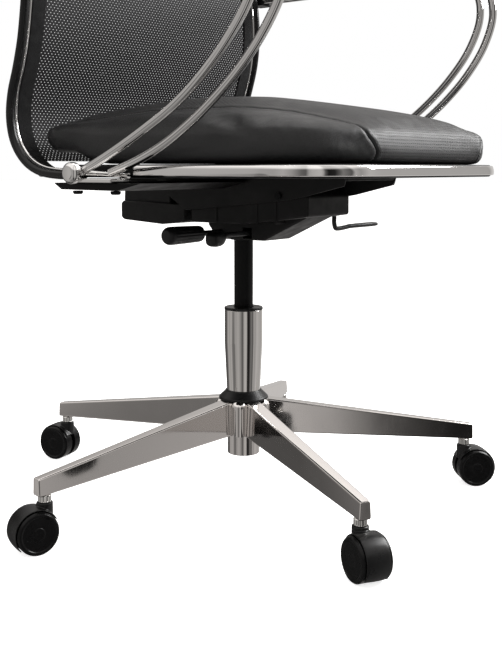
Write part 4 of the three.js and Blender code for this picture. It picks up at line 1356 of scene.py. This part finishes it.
def wrinkles(local):
    """Soft slack folds of the bolsters and gentle unevenness of the foam, in mm."""
    x, y, z = local.T
    bolster = smoothstep(np.abs(x), 165, 200)
    diagonal = (y + 150) * 0.5 - (z - 530) * 1.3
    fold = -2.0 * np.exp(-((diagonal + 4) / 10) ** 2) + 0.9 * np.exp(-((diagonal - 16) / 12) ** 2)
    fold *= bolster * np.exp(-((z - 530) / 26) ** 2) * np.exp(-((y + 140) / 60) ** 2)
    slack = 0.5 * np.sin(y / 23 + 1.3 * np.sin(z / 17)) * bolster * smoothstep(z, 495, 515)
    uneven = 0.6 * np.sin(x / 61 + 0.8 * np.sin(y / 47)) * np.sin(y / 53 + 0.7)
    return fold + slack + uneven


def stitches(seams, tree):
    """One row of thread beside each seam, on the bolster side."""
    bm = bmesh.new()
    pitch, stitch = 4.6, 3.1
    for side, seam in zip((-1, 1), seams):
        points = [p for p, _ in seam]
        lengths = running_length(points)
        for k in range(int(lengths[-1] // pitch)):
            spots = []
            for share in (0, 0.25, 0.5, 0.75, 1):
                run = k * pitch + share * stitch
                j = min(int(np.searchsorted(lengths, run)), len(points) - 1)
                before = max(j - 1, 0)
                span = max(lengths[j] - lengths[before], 1e-6)
                here = points[before].lerp(points[j], min(1, (run - lengths[before]) / span))
                along = (points[min(j + 1, len(points) - 1)] - points[max(j - 2, 0)]).normalized()
                out = along.cross(seam[j][1])
                if out.x * side < 0:
                    out.negate()
                hit, normal, _, _ = tree.find_nearest(here + out.normalized() * 3.6 * MM)
                spots.append(hit + normal * MM * (0.28 * math.sin(math.pi * share) - 0.05))
            side_way = (spots[-1] - spots[0]).normalized().cross(normal)
            rows = []
            for spot, width in zip(spots, (0.2, 0.42, 0.48, 0.42, 0.2)):
                ring = [spot + (side_way * u + normal * v) * width * MM for u, v in circle(1, 6)]
                rows.append([bm.verts.new(point) for point in ring])
            for low, high in zip(rows, rows[1:]):
                for i in range(6):
                    bm.faces.new((low[i], low[(i + 1) % 6], high[(i + 1) % 6], high[i]))
            bm.faces.new(rows[0])
            bm.faces.new(rows[-1])
    rows = to_object("seat_stitching", bm)
    dress(rows, "recliner", "seat_leather", THREAD, angle=60, soft=True)


def seat_pad():
    """The cushion: blown up, sewn and stitched."""
    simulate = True
    pad = cushion_block(5.0 if simulate else 1.0)
    remesh(pad, 6, 2)
    if simulate:
        inflate(pad)
    finer = pad.modifiers.new("finer", "SUBSURF")
    finer.levels = finer.render_levels = 1
    settle(pad)
    tree = surface_tree(pad)
    seams = [seam_line(tree, side) for side in (-1, 1)]
    sew(pad, seams)
    pad.name = "seat_cushion_cover"
    dress(pad, "recliner", "seat_leather", LEATHER, "seat_cushion", angle=80, soft=True)
    stitches(seams, surface_tree(pad))


# ---------------------------------------------------------------- assembly
star_base()
column()
casters()
housing()
levers()
seat_structure()
for arm_name, arm_side in (("left", 1), ("right", -1)):
    arm_parts(arm_name, arm_side)
back()
seat_pad()

hidden_parts = (("lift_rod", STEEL), ("thrust_bearing", STEEL), ("valve_pin", STEEL), ("tilt_axle", PAINT))
for plain, look in hidden_parts:
    NODES[plain].data.materials.clear()
    NODES[plain].data.materials.append(look)
